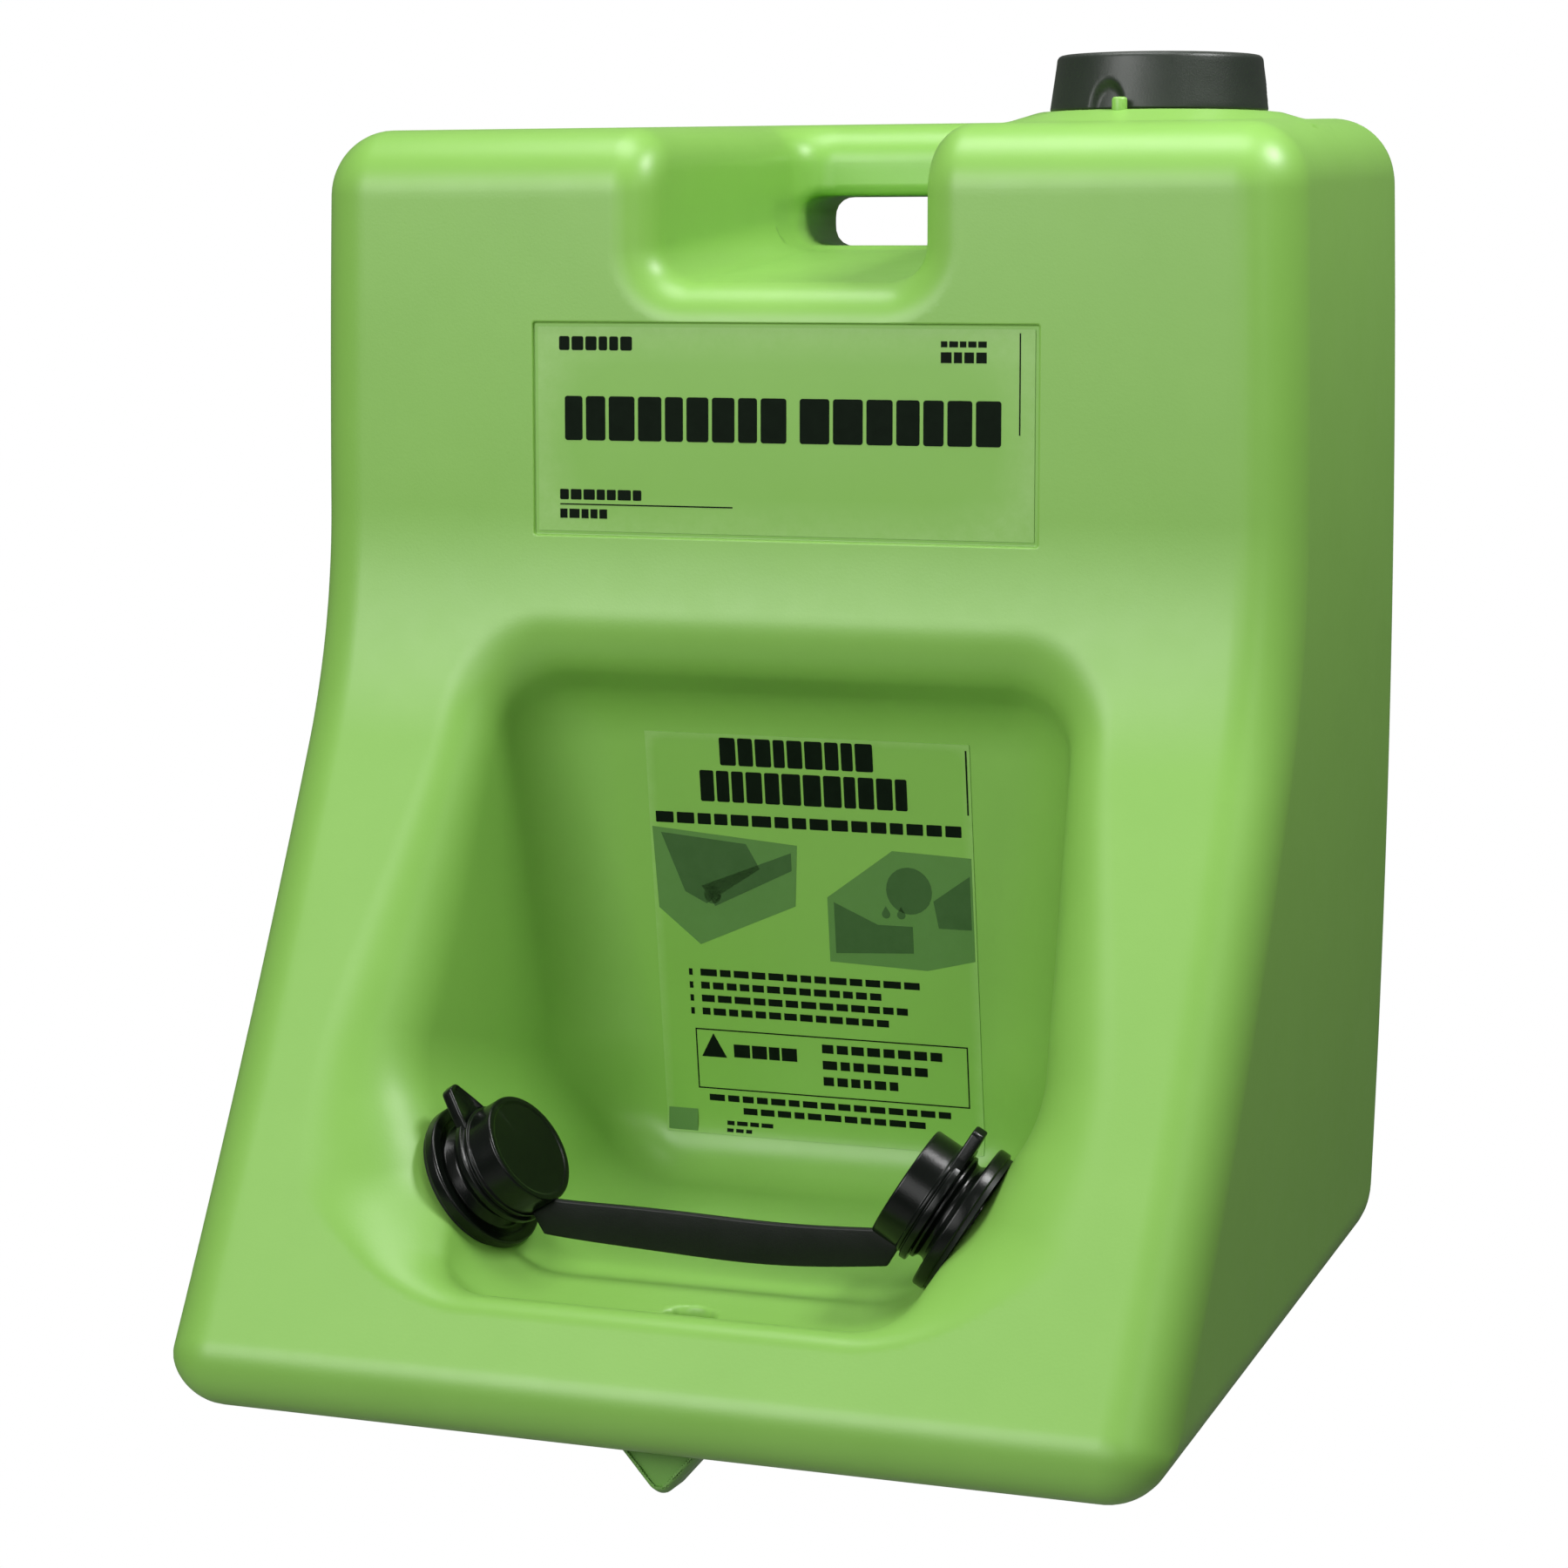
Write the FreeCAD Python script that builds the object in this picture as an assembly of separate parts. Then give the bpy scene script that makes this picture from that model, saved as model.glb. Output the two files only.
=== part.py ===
import FreeCAD, Part
import math
import os

V = FreeCAD.Vector
os.makedirs("parts", exist_ok=True)

# Gravity-fed emergency eyewash tank, millimetres. X to the right, -Y to the user, +Y to the wall.
# Heights are measured from the tank's lower front edge. The saved parts are lowered by bracket_height,
# so the origin is on the back face, in the middle of the upper lip of the wall bracket pocket.

# tank
wall = 5.0
half_width = 222.5
barrel_radius = 7200.0
widest_height = 315.0
tank_height = 532.5
top_rise = 7.3
bottom_rise = 32.0
upper_depth = 208.0
bend_height = 370.0
bend_radius = 223.0
bend_angle = 26.6
flare_radius = 2060.0
side_round = 19.0
top_front_round = 28.0
top_back_round = 28.0
bottom_front_round = 20.0
bottom_back_round = 30.0

# basin
basin_back_y = -150.0
basin_floor_back = 72.0
basin_back_lean = 0.141
basin_roof_back = 283.0
basin_roof_rise = 60.0
basin_roof_run = 85.0
basin_floor_front_y = -331.0
basin_floor_front = 47.0
basin_side_base = 56.0
basin_side_out = 0.273
basin_side_up = 0.06
basin_corner_round = 34.0
basin_roof_round = 40.0
basin_floor_round = 26.0
basin_rim_round = 16.0
basin_outside_y = -460.0

# hand grip
grip_mouth_half = 65.6
grip_back_half = 50.0
grip_bar_depth = 48.0
grip_ledge_front = 466.0
grip_ledge_back = 483.5
grip_slot_top = 506.0
grip_slot_round = 9.0
grip_corner_round = 14.0

# label recess
label_half_width = 114.0
label_bottom = 359.0
label_top = 450.5
label_recess = 1.5
label_inset = 2.0
label_thickness = 0.4
decal_half_width = 75.0
decal_bottom = 88.0
decal_top = 272.0

# fill opening and cap
cap_x = 135.0
cap_y = -105.0
boss_top = 539.4
boss_low_radius = 72.0
boss_high_radius = 52.0
boss_rise = 6.0
neck_outer = 40.0
neck_bore = 36.0
neck_top = 557.0
cap_gap = 0.4
cap_base_radius = 47.0
cap_top_radius = 43.6
cap_bore = 40.8
cap_height = 24.0
cap_roof = 3.0
cap_top_round = 3.0
gasket_thickness = 2.2
gasket_gap = 0.3
vent_hole = 3.0
vent_pocket = 9.0
vent_pocket_depth = 1.2
vent_screen_radius = 8.8
vent_screen_thickness = 0.8
vent_flap_radius = 8.0
vent_flap_thickness = 1.5
lug_radius = 3.2
lug_height = 8.0
lug_sunk = 3.0
lug_gap = 1.0

# eyewash nozzles: axis of the left one, its mirror image is the right one
nozzle_x = 109.0
nozzle_y = -280.8
nozzle_z = 90.2
nozzle_turn = 7.2
nozzle_rise = 32.1
nozzle_gasket = 2.0
flange_radius = 32.5
flange_thickness = 5.2
flange_lip_height = 1.3
flange_lip_width = 4.5
neck_radius = 24.0
collar_start = 12.3
spigot_radius = 21.4
spigot_end = 26.0
mouth_radius = 18.9
mouth_depth = 8.0
water_bore = 11.0
tail_radius = 14.5
tail_length = 30.0
fit_gap = 0.1
nut_thickness = 9.0
nut_across = 42.0
insert_length = 14.0
insert_inner_end = -4.0
insert_inlet = 3.5
insert_outlet = 8.5
disc_thickness = 2.5
disc_hole = 1.1
disc_rows = ((6, 6.0), (12, 12.0))
strainer_wall = 2.0
strainer_length = 24.0
strainer_slot = 2.4
cap_wall_radius = 24.4
cap_face = 30.3
collar_radius = 26.8
collar_height = 3.8
socket_radius = 21.8
cap_floor = 3.0
cap_edge_round = 1.8
cap_clearance = 0.4
seal_thickness = 1.0
ear_reach = 13.0
ear_root_half = 9.0
ear_tip_half = 2.5
ear_thickness = 5.0
ear_hole = 1.8
ear_hole_out = 5.0

# pull strap
strap_width = 18.0
strap_thickness = 3.2
strap_top = 86.5
strap_sag = 3.0
strap_gap = 0.4
strap_end_drop = 13.0

# drain and drip spout
drain_y = -316.0
drain_radius = 12.0
sleeve_radius = 11.7
sleeve_bore = 9.0
spout_front_y = -346.0
spout_half_width = 21.0
spout_low = -21.0
spout_shoulder = 5.0
spout_high = 24.0
spout_depth = 20.0
spout_tip_round = 6.0
spout_draft = 3.0
spout_draft_depth = 5.0
spout_hole = 4.0
spout_hole_depth = 14.0
strainer_disc_thickness = 1.6
strainer_disc_drop = 7.0
strainer_disc_hole = 1.5
strainer_disc_ring = 5.0

# wall bracket pocket in the back
bracket_height = 402.0
pocket_half_width = 100.0
pocket_height = 22.0
pocket_depth = 14.0


def save(name, shape):
    shape = shape.removeSplitter()
    shape.translate(V(0, 0, -bracket_height))
    if not shape.isValid():
        print("INVALID", name)
    print(name, "solids", len(shape.Solids), "volume", round(shape.Volume / 1000.0, 1), "cm3")
    shape.exportStep("parts/" + name + ".step")


def box(x0, y0, z0, x1, y1, z1):
    return Part.makeBox(x1 - x0, y1 - y0, z1 - z0, V(x0, y0, z0))


def cylinder(radius, height, base, axis=V(0, 0, 1)):
    return Part.makeCylinder(radius, height, base, axis)


def ring(outer, inner, start, height):
    return cylinder(outer, height, V(0, 0, start)).cut(cylinder(inner, height + 2, V(0, 0, start - 1)))


def polygon(points):
    return Part.makePolygon(points + [points[0]])


def lengthwise_edges(shape, y, z, reach=4.0):
    """Edges that run along X near the corner (y, z)."""
    found = []
    for edge in shape.Edges:
        centre = edge.CenterOfMass
        straight = abs(edge.Vertexes[0].Point.x - edge.Vertexes[-1].Point.x) > 50.0
        if straight and math.hypot(centre.y - y, centre.z - z) < reach:
            found.append(edge)
    return found


def round_corners(shape, corners):
    for y, z, radius in corners:
        shape = shape.makeFillet(radius, lengthwise_edges(shape, y, z))
    return shape


# ---------------------------------------------------------------- tank

def front_arcs():
    """Concave bend and long flare of the front, as arc centres and the points between them."""
    a = math.radians(bend_angle)
    bend_centre = (-upper_depth - bend_radius, bend_height)
    knee = (bend_centre[0] + bend_radius * math.cos(a), bend_centre[1] - bend_radius * math.sin(a))
    flare_centre = (knee[0] - flare_radius * math.cos(a), knee[1] + flare_radius * math.sin(a))
    b = math.asin(flare_centre[1] / flare_radius)
    toe = (flare_centre[0] + flare_radius * math.cos(b), 0.0)
    return a, b, bend_centre, knee, flare_centre, toe


def arc_edge(centre, radius, start, end):
    points = []
    for angle in (start, (start + end) / 2.0, end):
        points.append(V(0, centre[0] + radius * math.cos(angle), centre[1] + radius * math.sin(angle)))
    return Part.Arc(*points).toShape()


def side_wire():
    a, b, bend_centre, knee, flare_centre, toe = front_arcs()
    back_low = V(0, 0, bottom_rise)
    back_high = V(0, 0, tank_height + top_rise)
    front_high = V(0, -upper_depth, tank_height)
    bend_start = V(0, -upper_depth, bend_height)
    edges = [
        Part.makeLine(V(0, toe[0], 0), back_low),
        Part.makeLine(back_low, back_high),
        Part.makeLine(back_high, front_high),
        Part.makeLine(front_high, bend_start),
        arc_edge(bend_centre, bend_radius, 0.0, -a),
        arc_edge(flare_centre, flare_radius, -a, -b),
    ]
    return Part.Wire(edges)


def tank_body(inset):
    """The tank without its hollows, drawn in by inset on every side."""
    wire = side_wire()
    toe_y = front_arcs()[5][0]
    if inset > 0:
        wire = wire.makeOffset2D(-inset, 2)
    prism = Part.Face(wire).extrude(V(2 * half_width + 80, 0, 0))
    prism.translate(V(-half_width - 40, 0, 0))
    reach = 4.0 + 2.0 * inset
    corners = (
        (toe_y, 0.0, bottom_front_round),
        (0.0, bottom_rise, bottom_back_round),
        (0.0, tank_height + top_rise, top_back_round),
        (-upper_depth, tank_height, top_front_round),
    )
    for y, z, radius in corners:
        prism = prism.makeFillet(radius - inset, lengthwise_edges(prism, y, z, reach))
    body = prism.common(barrel(inset))
    rim = []
    for face in body.Faces:
        if abs(face.CenterOfMass.x) > half_width - 20.0:
            rim.extend(face.OuterWire.Edges)
    return body.makeFillet(side_round - inset, rim)


def barrel(inset):
    """Prism along Y whose two sides bow out to half_width at widest_height."""
    low, high = -80.0, 640.0
    radius = barrel_radius - inset
    centre_x = half_width - barrel_radius

    def side_point(z, sign):
        return V(sign * (centre_x + math.sqrt(radius ** 2 - (z - widest_height) ** 2)), 60, z)

    right = Part.Arc(*[side_point(z, 1) for z in (low, widest_height, high)]).toShape()
    left = Part.Arc(*[side_point(z, -1) for z in (high, widest_height, low)]).toShape()
    top = Part.makeLine(side_point(high, 1), side_point(high, -1))
    bottom = Part.makeLine(side_point(low, -1), side_point(low, 1))
    return Part.Face(Part.Wire([right, top, left, bottom])).extrude(V(0, -560, 0))


def basin_back(z):
    return basin_back_y - basin_back_lean * (z - basin_floor_back)


def basin_void(grow):
    """Space of the basin, from its back wall out through the front; grow adds a wall's thickness."""
    roof_y = basin_back(basin_roof_back)
    reach_out = basin_floor_front_y - basin_outside_y
    section = polygon([
        V(0, basin_back_y, basin_floor_back),
        V(0, roof_y, basin_roof_back),
        V(0, roof_y - basin_roof_run, basin_roof_back + basin_roof_rise),
        V(0, basin_outside_y, basin_roof_back + basin_roof_rise),
        V(0, basin_outside_y, basin_floor_front + reach_out),
        V(0, basin_floor_front_y, basin_floor_front),
    ])
    if grow > 0:
        section = section.makeOffset2D(grow, 2)
    void = Part.Face(section).extrude(V(500, 0, 0))
    void.translate(V(-250, 0, 0))
    void = void.common(basin_sides(grow))
    corners = []
    for edge in void.Edges:
        ends = [vertex.Point for vertex in edge.Vertexes]
        reaches_in = max(p.y for p in ends) > basin_outside_y + 60.0
        if reaches_in and ends[0].x * ends[1].x > 0:
            corners.append(edge)
    void = void.makeFillet(basin_corner_round + grow, corners)
    reach = 4.0 + 2.0 * grow
    for y, z, radius in ((roof_y, basin_roof_back, basin_roof_round),
                         (basin_back_y, basin_floor_back, basin_floor_round),
                         (basin_floor_front_y, basin_floor_front, basin_rim_round)):
        void = void.makeFillet(radius + grow, lengthwise_edges(void, y, z, reach))
    for sign in (-1, 1):
        void = void.cut(behind_pad(sign, grow))
    return void


def basin_sides(grow):
    """Wedge between the basin's side walls, which open towards the front and towards the top."""
    low_z = basin_floor_back - 370.0
    back_y = basin_back_y + 60.0 + basin_side_up / basin_side_out * (low_z - basin_floor_back)
    spread = grow * math.sqrt(1.0 + basin_side_out ** 2 + basin_side_up ** 2)
    plan = []
    for y in (back_y, back_y - 700.0):
        x = basin_side_base - basin_side_out * y + basin_side_up * low_z + spread
        plan.append(V(x, y, low_z))
    plan.extend([V(-p.x, p.y, p.z) for p in reversed(plan)])
    along = V(0, basin_side_up, basin_side_out) * (700.0 / basin_side_out)
    return Part.Face(polygon(plan)).extrude(along)


def nozzle_axis(sign):
    """Direction in which the nozzle on side sign (-1 left, 1 right) sprays."""
    rise = math.radians(nozzle_rise)
    turn = math.radians(nozzle_turn)
    flat = math.cos(rise)
    return V(-sign * flat * math.cos(turn), -flat * math.sin(turn), math.sin(rise))


def nozzle_base(sign):
    """Centre of the flange's back face."""
    return V(sign * nozzle_x, nozzle_y, nozzle_z)


def on_nozzle(shape, sign):
    placed = shape.copy()
    placed.Placement = FreeCAD.Placement(nozzle_base(sign), FreeCAD.Rotation(V(0, 0, 1), nozzle_axis(sign)))
    return placed


def behind_pad(sign, grow):
    """Everything behind the flat that the nozzle's gasket seats on."""
    block = box(-400, -400, -500, 400, 400, -nozzle_gasket - grow)
    return on_nozzle(block, sign)


def grip_void(grow):
    """Open-topped scoop in front of the hand grip bar."""
    slope = (grip_mouth_half - grip_back_half) / (upper_depth - grip_bar_depth)
    back_y = -grip_bar_depth + grow
    front_y = -upper_depth - 60.0
    back_x = grip_back_half + slope * (-grip_bar_depth - back_y) + grow
    front_x = grip_back_half + slope * (-grip_bar_depth - front_y) + grow
    plan = polygon([
        V(back_x, back_y, 0), V(front_x, front_y, 0), V(-front_x, front_y, 0), V(-back_x, back_y, 0),
    ])
    block = Part.Face(plan).extrude(V(0, 0, 800))
    upright = []
    for edge in block.Edges:
        height = abs(edge.Vertexes[0].Point.z - edge.Vertexes[1].Point.z)
        if abs(edge.CenterOfMass.y - back_y) < 1.0 and height > 50.0:
            upright.append(edge)
    block = block.makeFillet(grip_corner_round + grow, upright)
    ledge_slope = (grip_ledge_back - grip_ledge_front) / (upper_depth - grip_bar_depth)
    back_z = grip_ledge_back + ledge_slope * (back_y + grip_bar_depth) - grow
    front_z = grip_ledge_back + ledge_slope * (front_y + grip_bar_depth) - grow
    floor = polygon([
        V(-200, 40, back_z + ledge_slope * (40 - back_y)), V(-200, front_y - 20, front_z - 20 * ledge_slope),
        V(-200, front_y - 20, -10), V(-200, 40, -10),
    ])
    return block.cut(Part.Face(floor).extrude(V(400, 0, 0)))


def slot_void(grow):
    """Finger slot under the grip bar, right through to the back."""
    slot = box(-grip_back_half - grow, -grip_bar_depth - 30.0, grip_ledge_back - grow,
               grip_back_half + grow, 30.0, grip_slot_top + grow)
    along = [e for e in slot.Edges if abs(e.Vertexes[0].Point.y - e.Vertexes[1].Point.y) > 50]
    return slot.makeFillet(grip_slot_round + grow, along)


def pocket_void(grow):
    """Pocket across the back that hooks over the wall bracket."""
    return box(-pocket_half_width - grow, -pocket_depth - grow, bracket_height - pocket_height - grow,
               pocket_half_width + grow, 20.0, bracket_height + grow)


def drain_void(grow):
    return cylinder(drain_radius + grow, 140.0, V(0, drain_y, -60.0))


def neck_solid():
    boss = Part.makeCone(boss_low_radius, boss_high_radius, boss_rise, V(cap_x, cap_y, boss_top - boss_rise))
    return boss.fuse(cylinder(neck_outer, neck_top - boss_top + 2, V(cap_x, cap_y, boss_top - 2)))


def stop_lug():
    """Small moulded lug in front of the fill cap's skirt."""
    lug_y = cap_y - cap_base_radius - lug_radius - lug_gap
    return cylinder(lug_radius, lug_height, V(cap_x - 3.0, lug_y, boss_top - lug_sunk))


def tank_shell():
    inside = tank_body(wall)
    for void in (basin_void(wall), grip_void(wall), slot_void(wall), pocket_void(wall), drain_void(wall)):
        inside = inside.cut(void)
    shell = tank_body(0.0).fuse(neck_solid()).fuse(stop_lug())
    for void in (basin_void(0.0), grip_void(0.0), slot_void(0.0), pocket_void(0.0)):
        shell = shell.cut(void)
    shell = shell.cut(box(-label_half_width, -upper_depth - 10, label_bottom,
                          label_half_width, -upper_depth + label_recess, label_top))
    shell = shell.cut(inside)
    shell = shell.cut(cylinder(neck_bore, 60.0, V(cap_x, cap_y, neck_top - 50.0)))
    shell = shell.cut(cylinder(drain_radius, 140.0, V(0, drain_y, -60.0)))
    for sign in (-1, 1):
        shell = shell.cut(on_nozzle(cylinder(tail_radius + 0.3, 40.0, V(0, 0, -30.0)), sign))
    return shell


# ---------------------------------------------------------------- nozzles

def nozzle_body():
    """Flange, neck and spigot in front of the wall, threaded tail behind it; one turned moulding."""
    plate = flange_thickness - flange_lip_height
    body = cylinder(flange_radius, flange_thickness, V(0, 0, 0))
    dish = cylinder(flange_radius - flange_lip_width, 10.0, V(0, 0, plate))
    body = body.cut(dish)
    body = body.fuse(cylinder(neck_radius, collar_start - cap_clearance, V(0, 0, 0)))
    body = body.fuse(cylinder(spigot_radius, spigot_end, V(0, 0, 0)))
    body = body.fuse(cylinder(tail_radius, tail_length, V(0, 0, -tail_length)))
    body = body.cut(cylinder(water_bore, 80.0, V(0, 0, -50.0)))
    return body.cut(cylinder(mouth_radius, 20.0, V(0, 0, spigot_end - mouth_depth)))


def nozzle_gasket_ring():
    return ring(flange_radius - 1.5, tail_radius + 0.3, -nozzle_gasket, nozzle_gasket)


def nozzle_nut():
    """Hexagon lock nut that clamps the tank wall from inside."""
    start = -nozzle_gasket - wall
    corner = nut_across / 2.0 / math.cos(math.radians(30.0))
    points = []
    for k in range(6):
        angle = math.radians(60.0 * k)
        points.append(V(corner * math.cos(angle), corner * math.sin(angle), start - nut_thickness))
    nut = Part.Face(polygon(points)).extrude(V(0, 0, nut_thickness))
    return nut.cut(cylinder(tail_radius + fit_gap, 60.0, V(0, 0, -50.0)))


def flow_insert():
    """Tapered metering bush pressed into the nozzle bore."""
    bush = cylinder(water_bore - fit_gap, insert_length, V(0, 0, insert_inner_end))
    taper = Part.makeCone(insert_inlet, insert_outlet, insert_length, V(0, 0, insert_inner_end))
    return bush.cut(taper)


def spray_disc():
    """Perforated disc in the spigot's mouth."""
    disc = cylinder(mouth_radius - fit_gap, disc_thickness, V(0, 0, spigot_end - mouth_depth))
    holes = [(0.0, 0.0)]
    for count, radius in disc_rows:
        for k in range(count):
            angle = 2.0 * math.pi * k / count
            holes.append((radius * math.cos(angle), radius * math.sin(angle)))
    for x, y in holes:
        disc = disc.cut(cylinder(disc_hole, 20.0, V(x, y, spigot_end - 2.0 * mouth_depth)))
    return disc


def inlet_strainer():
    """Slotted cup pushed over the tail's end inside the tank."""
    top = -nozzle_gasket - wall - nut_thickness - 0.5
    low = top - strainer_length
    cup = cylinder(tail_radius + strainer_wall, strainer_length, V(0, 0, low))
    cup = cup.cut(cylinder(tail_radius + fit_gap, strainer_length, V(0, 0, low + strainer_wall)))
    half = strainer_slot / 2.0
    for k in range(3):
        slot = box(-30.0, -half, low + 2.5 * strainer_wall, 30.0, half, low + strainer_length / 2.0)
        slot.rotate(V(0, 0, 0), V(0, 0, 1), 60.0 * k)
        cup = cup.cut(slot)
    return cup


def nozzle_cap(sign):
    """Push-on cap with a collar at its mouth and an ear to lift it by."""
    cap = cylinder(cap_wall_radius, cap_face - collar_start, V(0, 0, collar_start))
    top_edge = [e for e in cap.Edges if abs(e.CenterOfMass.z - cap_face) < 0.01]
    cap = cap.makeFillet(cap_edge_round, top_edge)
    cap = cap.fuse(cylinder(collar_radius, collar_height, V(0, 0, collar_start)))
    cap = on_nozzle(cap.fuse(cap_ear(sign)), sign)
    socket = cylinder(socket_radius, cap_face - collar_start - cap_floor, V(0, 0, collar_start))
    return cap.cut(on_nozzle(socket, sign))


def cap_ear(sign):
    """Tapered tab on the collar, on the side away from the strap."""
    reach = collar_radius + ear_reach
    root = cap_wall_radius - 2.0
    tab = polygon([
        V(root, -ear_root_half, collar_start), V(reach, -ear_tip_half, collar_start),
        V(reach, ear_tip_half, collar_start), V(root, ear_root_half, collar_start),
    ])
    tab = Part.Face(tab).extrude(V(0, 0, ear_thickness))
    hole = cylinder(ear_hole, 4.0 * ear_thickness, V(collar_radius + ear_hole_out, 0, 0))
    tab = tab.cut(hole)
    tab.rotate(V(0, 0, 0), V(0, 0, 1), ear_angle(sign))
    return tab


def ear_angle(sign):
    """Turn about the nozzle axis that brings the tab to the top."""
    turn = FreeCAD.Rotation(V(0, 0, 1), nozzle_axis(sign))
    local_up = turn.inverted().multVec(V(0, 0, 1))
    return math.degrees(math.atan2(local_up.y, local_up.x))


def cap_seal():
    """Soft disc on the cap's floor that shuts the spigot."""
    start = cap_face - cap_floor - seal_thickness
    return cylinder(socket_radius - 3.0 * fit_gap, seal_thickness, V(0, 0, start))


# ---------------------------------------------------------------- strap

def strap_end(sign):
    """Cap wall's lowest line: its middle, and the direction away from the axis."""
    axis = nozzle_axis(sign)
    down = V(0, 0, -1) + axis * axis.z
    down.normalize()
    middle = nozzle_base(sign) + axis * ((collar_start + collar_height + cap_face) / 2.0)
    return middle + down * cap_wall_radius, down, axis


def pull_strap():
    """Flat band on edge between the two caps; each end turns up to meet its cap."""
    middle, down, axis = strap_end(1)
    half = (cap_face - collar_start - collar_height) / 2.0 - 0.6
    gap = down * strap_gap
    face_side = middle + axis * half + gap
    rim_side = middle - axis * half + gap
    low = strap_top - strap_width
    outline = [
        V(face_side.x, 0, face_side.z), V(rim_side.x, 0, rim_side.z),
        V(rim_side.x + down.x * strap_end_drop, 0, low + 1.0), V(0, 0, low - strap_sag),
    ]
    mirrored = [V(-p.x, 0, p.z) for p in reversed(outline[:3])]
    outline = outline + mirrored + [V(0, 0, strap_top - strap_sag)]
    band = Part.Face(polygon(outline)).extrude(V(0, strap_thickness, 0))
    band.translate(V(0, middle.y - strap_thickness / 2.0, 0))
    return band


# ---------------------------------------------------------------- fill cap

def tank_up(radius, low, high):
    return cylinder(radius, high - low, V(cap_x, cap_y, low))


def fill_cap():
    base = boss_top + cap_gap
    top = base + cap_height
    cap = Part.makeCone(cap_base_radius, cap_top_radius, cap_height, V(cap_x, cap_y, base))
    rim = [e for e in cap.Edges if abs(e.CenterOfMass.z - top) < 0.01]
    cap = cap.makeFillet(cap_top_round, rim)
    cap = cap.cut(tank_up(cap_bore, base - 1, top - cap_roof))
    cap = cap.cut(tank_up(vent_hole, top - 10, top + 1))
    return cap.cut(tank_up(vent_pocket, top - vent_pocket_depth, top + 1))


def fill_cap_gasket():
    low = neck_top + gasket_gap
    disc = tank_up(cap_bore - cap_gap, low, low + gasket_thickness)
    return disc.cut(tank_up(neck_bore - 2.0, low - 1, low + 5))


def vent_valve():
    """Umbrella valve: a stem in the vent hole and a skirt under the cap's roof."""
    roof = boss_top + cap_gap + cap_height - cap_roof
    valve = tank_up(vent_flap_radius, roof - vent_flap_thickness, roof)
    return valve.fuse(tank_up(vent_hole - 1.0, roof - vent_flap_thickness, roof + cap_roof / 2.0))


def vent_screen():
    top = boss_top + cap_gap + cap_height
    low = top - vent_pocket_depth
    return tank_up(vent_screen_radius, low, low + vent_screen_thickness)


# ---------------------------------------------------------------- labels, drain

def front_label():
    y = -upper_depth + label_recess
    half = label_half_width - label_inset
    return box(-half, y - label_thickness, label_bottom + label_inset, half, y, label_top - label_inset)


def instruction_decal():
    """Printed film that follows the basin's back wall, down into its rounded foot."""
    area = box(-decal_half_width, basin_back_y - 60.0, decal_bottom,
               decal_half_width, basin_back_y + 20.0, decal_top)
    void = basin_void(0.0)
    in_front = void.copy()
    in_front.translate(V(0, -label_thickness, 0))
    return void.common(area).cut(in_front)


def drain_strainer():
    """Perforated disc with a short skirt, sitting in the top of the drain sleeve."""
    low = basin_floor_front - strainer_disc_drop
    disc = cylinder(sleeve_bore - 2.0 * fit_gap, strainer_disc_thickness, V(0, drain_y, low))
    for k in range(6):
        angle = math.radians(60.0 * k)
        x = strainer_disc_ring * math.cos(angle)
        y = drain_y + strainer_disc_ring * math.sin(angle)
        disc = disc.cut(cylinder(strainer_disc_hole, 6.0, V(x, y, low - 2.0)))
    return disc


def spout_outline(inset, y):
    """Rounded V with upright sides above it, seen from the front, at depth y."""
    half = spout_half_width - inset
    low = spout_low + inset
    slope = math.atan2(spout_shoulder - low, half)
    centre_z = low + spout_tip_round / math.cos(slope)
    contact_x = spout_tip_round * math.sin(slope)
    contact_z = centre_z - spout_tip_round * math.cos(slope)
    tip = Part.Arc(V(contact_x, y, contact_z), V(0, y, centre_z - spout_tip_round),
                   V(-contact_x, y, contact_z))
    left = [V(-contact_x, y, contact_z), V(-half, y, spout_shoulder), V(-half, y, spout_high)]
    right = [V(half, y, spout_high), V(half, y, spout_shoulder), V(contact_x, y, contact_z)]
    sides = Part.makePolygon(left + right)
    return Part.Wire([tip.toShape()] + sides.Edges)


def drip_spout():
    """V-shaped lip under the front edge, with a sleeve that lines the drain."""
    front = spout_front_y
    full = front + spout_draft_depth
    lip = Part.makeLoft([spout_outline(spout_draft, front), spout_outline(0.0, full)], True, True)
    back_part = Part.Face(spout_outline(0.0, full)).extrude(V(0, spout_depth - spout_draft_depth, 0))
    lip = lip.fuse(back_part).cut(tank_body(0.0))
    sleeve_top = basin_floor_front - 2.0
    floor = spout_low + spout_hole_depth
    spout = lip.fuse(cylinder(sleeve_radius, sleeve_top - floor, V(0, drain_y, floor)))
    spout = spout.cut(cylinder(sleeve_bore, 80.0, V(0, drain_y, floor + 2.0)))
    return spout.cut(cylinder(spout_hole, 80.0, V(0, drain_y, spout_low - 10.0)))


save("tank_shell", tank_shell())
for side, sign in (("left", -1), ("right", 1)):
    save("nozzle_body_" + side, on_nozzle(nozzle_body(), sign))
    save("nozzle_gasket_" + side, on_nozzle(nozzle_gasket_ring(), sign))
    save("nozzle_locknut_" + side, on_nozzle(nozzle_nut(), sign))
    save("flow_insert_" + side, on_nozzle(flow_insert(), sign))
    save("spray_disc_" + side, on_nozzle(spray_disc(), sign))
    save("inlet_strainer_" + side, on_nozzle(inlet_strainer(), sign))
    save("nozzle_cap_" + side, nozzle_cap(sign))
    save("cap_seal_" + side, on_nozzle(cap_seal(), sign))
save("pull_strap", pull_strap())
save("fill_cap", fill_cap())
save("fill_cap_gasket", fill_cap_gasket())
save("vent_valve", vent_valve())
save("vent_screen", vent_screen())
save("front_label", front_label())
save("instruction_decal", instruction_decal())
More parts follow.
